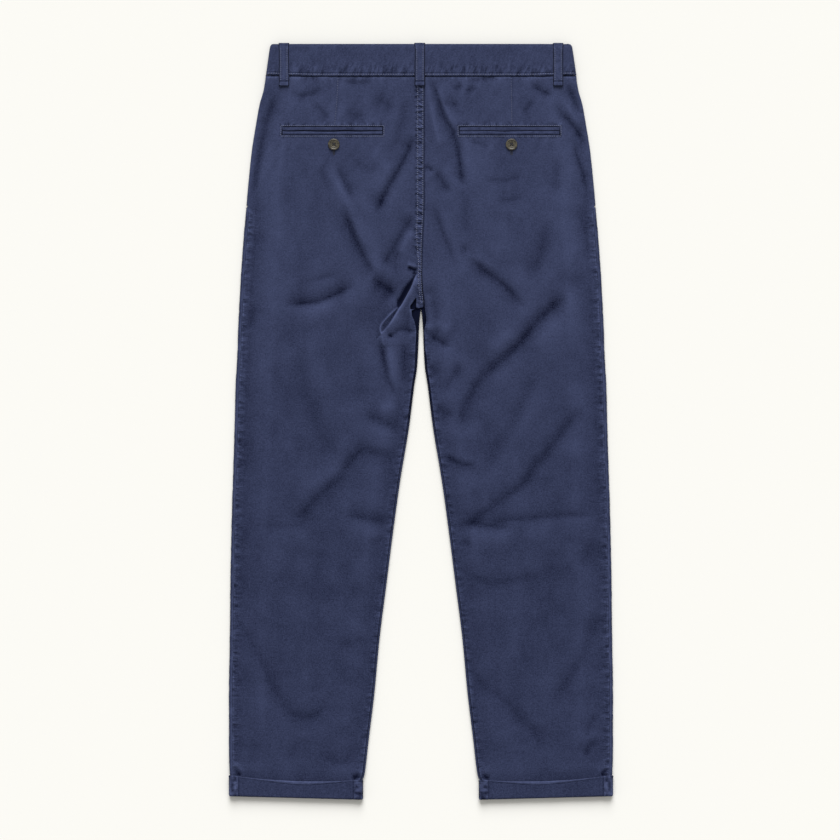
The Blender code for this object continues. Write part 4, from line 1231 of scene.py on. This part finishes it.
WELT_X = (51.4, 184.4)
WELTS = {"upper": (110.7, 115.6), "lower": (116.2, 121.1)}

for word, side in (("left", -1), ("right", 1)):
    for part, (top, low) in WELTS.items():

        def place_welt(u, v, side=side, part=part, top=top, low=low):
            x = side * (WELT_X[0] + (WELT_X[1] - WELT_X[0]) * u)
            lip = v if part == "upper" else 1.0 - v
            open_mouth = np.sin(math.pi * u) ** 0.5
            sway = 0.65 * crumple(x, v * 0.0, 19.0, 9.0, 131 + side) * open_mouth * lip
            parting = (0.5 if side < 0 else 0.1) * open_mouth * lip * (1.0 if part == "lower" else -1.0)
            down = top + (low - top) * v + sway + parting
            pillow = np.sqrt(np.clip(1.0 - (2.0 * v - 1.0) ** 2, 0.0, 1.0))
            height = (back_height(x, POCKET_DOWN[0] - 2.0) + back_height(x, POCKET_DOWN[1] + 2.0)) / 2.0
            height = height - 0.6 + 0.9 * pillow + 0.25 * crumple(x, down, 12.0, 6.0, 132)
            wear_and_shade = 0.34 + 0.16 * bell(lip - 0.8, 0.2) + 0.12 * crumple(x, down, 6.0, 4.0, 133)
            return x, down, height, wear_and_shade, x, down, 0.0, 0.4

        welt = cloth_sheet("welt_%s_of_%s" % (part, word), 110, 12, place_welt, 0.6, navy, flip=side > 0)
        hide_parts("welt_%s_%s" % (part, word))

frames = []
for side in (-1, 1):
    inner, outer = side * (POCKET_X[0] - 1.3), side * (POCKET_X[1] + 1.3)
    frames.append([(inner, 108.8), (outer, 108.8)])
    frames.append([(inner, 123.0), (outer, 123.0)])
    frames.append([(inner, 109.6), (inner, 122.2)])
    frames.append([(outer, 109.6), (outer, 122.2)])
sew("stitches_pockets", frames, back_height, stitch=1.9, gap=0.6)

# Buttons. Turned horn-effect four-hole buttons with a raised rim, sewn on with
# navy thread; the cloth under each pocket button has its worked keyhole.

HOLE_RADIUS, HOLE_OFFSET = 0.85, 1.75

horn = bpy.data.materials.new("horn_effect")
horn.use_nodes = True
horn_shader = horn.node_tree.nodes["Principled BSDF"]
horn_shader.inputs["Roughness"].default_value = 0.38
horn_place = horn.node_tree.nodes.new("ShaderNodeTexCoord")
horn_grain = horn.node_tree.nodes.new("ShaderNodeTexNoise")
horn_grain.inputs["Scale"].default_value = 260.0
horn_grain.inputs["Detail"].default_value = 5.0
horn_grain.inputs["Distortion"].default_value = 1.4
link(horn.node_tree, horn_place, "Object", horn_grain, "Vector")
horn_ramp = horn.node_tree.nodes.new("ShaderNodeValToRGB")
horn_ramp.color_ramp.elements[0].position = 0.36
horn_ramp.color_ramp.elements[0].color = (0.014, 0.012, 0.009, 1.0)
horn_ramp.color_ramp.elements[1].position = 0.62
horn_ramp.color_ramp.elements[1].color = (0.088, 0.077, 0.052, 1.0)
link(horn.node_tree, horn_grain, "Fac", horn_ramp, "Fac")
link(horn.node_tree, horn_ramp, "Color", horn_shader, "Base Color")

BUTTON_PROFILE = (
    (0.0, 0.0), (6.2, 0.0), (7.1, 0.35), (7.65, 0.95), (7.8, 1.45), (7.6, 2.05), (7.1, 2.45),
    (6.5, 2.6), (5.9, 2.5), (5.4, 2.15), (5.0, 1.85), (4.4, 1.95), (3.7, 1.95), (3.1, 1.7), (0.0, 1.65))


def make_button(name, centre, height, face, node):
    """A button with its back at the given height; face is +1 for up, -1 for down."""
    bm = bmesh.new()
    ring = [bm.verts.new((r * MM, 0.0, z * MM)) for r, z in BUTTON_PROFILE]
    for first, second in zip(ring, ring[1:]):
        bm.edges.new((first, second))
    bmesh.ops.spin(bm, geom=list(bm.verts) + list(bm.edges), angle=math.tau, steps=56,
                   axis=(0.0, 0.0, 1.0), cent=(0.0, 0.0, 0.0), use_merge=True)
    bmesh.ops.remove_doubles(bm, verts=bm.verts, dist=0.001 * MM)
    bmesh.ops.recalc_face_normals(bm, faces=bm.faces)
    piece = add_piece(name, mesh_of(bm, name), horn)
    drills = bmesh.new()
    for quarter in range(4):
        angle = math.pi / 4.0 + math.pi / 2.0 * quarter
        offset = Vector((math.cos(angle), math.sin(angle), 0.0)) * HOLE_OFFSET * MM
        bmesh.ops.create_cone(drills, cap_ends=True, segments=16, depth=8.0 * MM, radius1=HOLE_RADIUS * MM,
                              radius2=HOLE_RADIUS * MM, matrix=Matrix.Translation(offset))
    drill_mesh = bpy.data.meshes.new("drills")
    drills.to_mesh(drill_mesh)
    drills.free()
    drill = bpy.data.objects.new("drills", drill_mesh)
    bpy.context.scene.collection.objects.link(drill)
    cut = piece.modifiers.new("Holes", "BOOLEAN")
    cut.operation = "DIFFERENCE"
    cut.object = drill
    graph = bpy.context.evaluated_depsgraph_get()
    bored = bpy.data.meshes.new_from_object(piece.evaluated_get(graph))
    piece.modifiers.clear()
    piece.data = bored
    bpy.data.objects.remove(drill, do_unlink=True)
    spot = Matrix.Translation((centre[0] * MM, WAIST_Y - centre[1] * MM, height * MM))
    turn = Matrix.Identity(4) if face > 0 else Matrix.Rotation(math.pi, 4, "X")
    bored.transform(spot @ turn)
    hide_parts(node)
    threads = bmesh.new()
    for level, (start, end) in enumerate((((-1, -1), (-1, 1)), ((1, -1), (1, 1)), ((-1, 1), (1, 1)))):
        reach = HOLE_OFFSET * math.cos(math.pi / 4.0)
        first, last = (Vector((p[0] * reach, p[1] * reach, 1.95 + 0.12 * level)) * MM for p in (start, end))
        axis = last - first
        shape = Matrix.Diagonal((axis.length / 2.0 + 0.5 * MM, 0.42 * MM, 0.32 * MM, 1.0))
        matrix = spot @ turn @ Matrix.Translation((first + last) / 2.0)
        bmesh.ops.create_icosphere(threads, subdivisions=2, radius=1.0,
                                   matrix=matrix @ axis.to_track_quat("X", "Z").to_matrix().to_4x4() @ shape)
    strands = name + "_thread"
    add_piece(strands, mesh_of(threads, strands), dark_thread)


def box_centre(node):
    lowest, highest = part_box(node)
    middle = (lowest + highest) / 2.0
    return middle.x / MM, (WAIST_Y - middle.y) / MM, lowest.z / MM, highest.z / MM


for word in ("left", "right"):
    x, down, _, _ = box_centre("pocket_button_" + word)
    around = back_height(x + np.array((-6.0, 0.0, 6.0, 0.0, 0.0)),
                         down + np.array((0.0, 0.0, 0.0, -6.0, 6.0)))
    make_button("button_" + word, (x, down), around.max() + 0.1, 1, "pocket_button_" + word)
x, down, _, high = box_centre("waist_button")
make_button("button_waist", (x, down), high, -1, "waist_button")

KEYHOLE_LENGTH = 19.0
for word in ("left", "right"):
    x, down, _, _ = box_centre("pocket_button_" + word)
    start, end = down - 7.5, down - 7.5 + KEYHOLE_LENGTH
    bars = []
    for step in np.arange(start, end, 0.55):
        bars.append([(x - 1.5, step), (x - 0.25, step)])
        bars.append([(x + 0.25, step), (x + 1.5, step)])
    for spoke in range(12):
        angle = math.tau * spoke / 12.0
        bars.append([(x + 0.7 * math.sin(angle), end + 0.9 - 0.7 * math.cos(angle)),
                     (x + 1.7 * math.sin(angle), end + 0.9 - 1.7 * math.cos(angle))])
    sew("buttonhole_" + word, bars, back_height, stitch=1.1, gap=0.05, radius=0.30, yarn=dark_thread)

# Turn-ups. Each hem is folded up once outside the leg and its raw edge turned in;
# the rolled edge is painted as a pale highlight band, and the seams make thick puckered blocks.

TURN_UP_TOP = 8.0
TURN_UP_THICK = 1.3
TURN_UP_EDGE = (979.4, 13.7, -19.8)
TURN_UP_LOW = 1006.5
SEAM_BLOCK = 12.5
RING_COLUMNS, RING_ROWS = 240, 30


def turn_up_edges(across):
    share = (across - HEM_INNER) / (HEM_OUTER - HEM_INNER)
    start, linear, square = TURN_UP_EDGE
    return start + linear * share + square * share ** 2, TURN_UP_LOW - HEM_TILT * share, share


for word, side in (("left", -1), ("right", 1)):

    def place_turn_up(u, v, side=side):
        radius = TURN_UP_TOP / 2.0
        flat = HEM_OUTER - HEM_INNER - 2.0 * radius
        arc = math.pi * radius
        total = 2.0 * flat + 2.0 * arc
        at = u * total
        turn = np.clip(at / radius, 0.0, math.pi)
        across = HEM_OUTER - radius + radius * np.sin(turn)
        height = radius * (1.0 + np.cos(turn))
        on = at > arc
        across = np.where(on, HEM_OUTER - radius - (at - arc), across)
        on = at > arc + flat
        turn = np.clip((at - arc - flat) / radius, 0.0, math.pi)
        across = np.where(on, HEM_INNER + radius - radius * np.sin(turn), across)
        height = np.where(on, radius * (1.0 - np.cos(turn)), height)
        on = at > 2.0 * arc + flat
        across = np.where(on, HEM_INNER + radius + (at - 2.0 * arc - flat), across)
        upper, lower, share = turn_up_edges(across)
        depth = lower - upper
        profile_v = np.array((0.0, 0.06, 0.11, 0.16, 0.22, 0.30, 0.86, 0.91, 0.95, 1.0))
        profile_down = np.array((3.0, 0.4, -0.2, 0.5, 1.8, 4.0, depth.mean() - 1.6, depth.mean() - 0.4,
                                 depth.mean(), depth.mean() - 1.2))
        profile_lift = np.array((-1.6, -0.7, -0.1, 0.45, 0.55, 0.35, 0.2, -0.4, -1.2, -2.4))
        out = np.interp(v, profile_v, profile_lift)
        step = v * depth.mean()
        step = step + (np.interp(v, profile_v, profile_down) - step) * smooth(height / TURN_UP_TOP)
        down = upper + step * depth / depth.mean()
        face = smooth((height - TURN_UP_TOP * 0.75) / 1.0)
        mid = bell(share - 0.47, 0.26)
        roll_line = 0.9 + 3.3 * mid
        below = down - upper
        roll = smooth((roll_line + 0.3 - below) / 0.7) * smooth(below / 0.6 + 0.5)
        groove = bell(below - roll_line - 0.3, 0.55)
        middle = (HEM_INNER + HEM_OUTER) / 2.0
        off_middle = np.abs(across - middle)
        past_end = off_middle - (HEM_OUTER - HEM_INNER) / 2.0
        block = smooth((past_end + SEAM_BLOCK) / 1.5)
        ditch = bell(past_end + SEAM_BLOCK + 0.6, 0.9)
        detail = 0.55 * roll - 0.45 * groove + 0.75 * block - 0.4 * ditch
        detail = detail + 0.55 * block * crumple(across, down, 4.5, 4.5, 151 + side)
        detail = detail + 0.20 * crumple(across, down, 18.0, 14.0, 153 + side)
        height = np.where(height > TURN_UP_TOP / 2.0, height + (out + detail) * face, height)
        bulge = np.where(height < TURN_UP_TOP * 0.3, np.maximum(-out, 0.0) * 0.4, 0.0)
        height = height + bulge
        turned_in = (1.0 - face) * (off_middle > 83.0) * np.minimum(out, 0.0) * 0.5
        sides = across + np.sign(across - middle) * turned_in
        # Painted light and shade on the turn-up: a pale painted highlight on the rolled edge, painted shade
        # in the groove below it, along the lower edge and in the ditch beside each seam block.
        wear_and_shade = 0.27 + 0.46 * roll * (0.35 + 0.65 * mid) - 0.20 * bell(below - depth + 0.6, 0.8)
        wear_and_shade = wear_and_shade - 0.16 * groove * mid
        wear_and_shade = wear_and_shade + 0.08 * block + 0.40 * block * crumple(across, down, 3.6, 4.2, 157) - 0.20 * ditch
        for inset in (2.2, SEAM_BLOCK - 1.2):
            wear_and_shade = wear_and_shade + 0.22 * bell(past_end + inset, 0.8) * face
        wear_and_shade = wear_and_shade + 0.12 * roll * crumple(across, down, 3.5, 2.0, 159)
        return side * sides, down, height, wear_and_shade, side * at, down, 2.5 * block, 0.6

    ring = cloth_sheet("turn_up_cloth_" + word, RING_COLUMNS, RING_ROWS, place_turn_up, TURN_UP_THICK, navy,
                       flip=side > 0)
    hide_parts("turn_up_" + word)
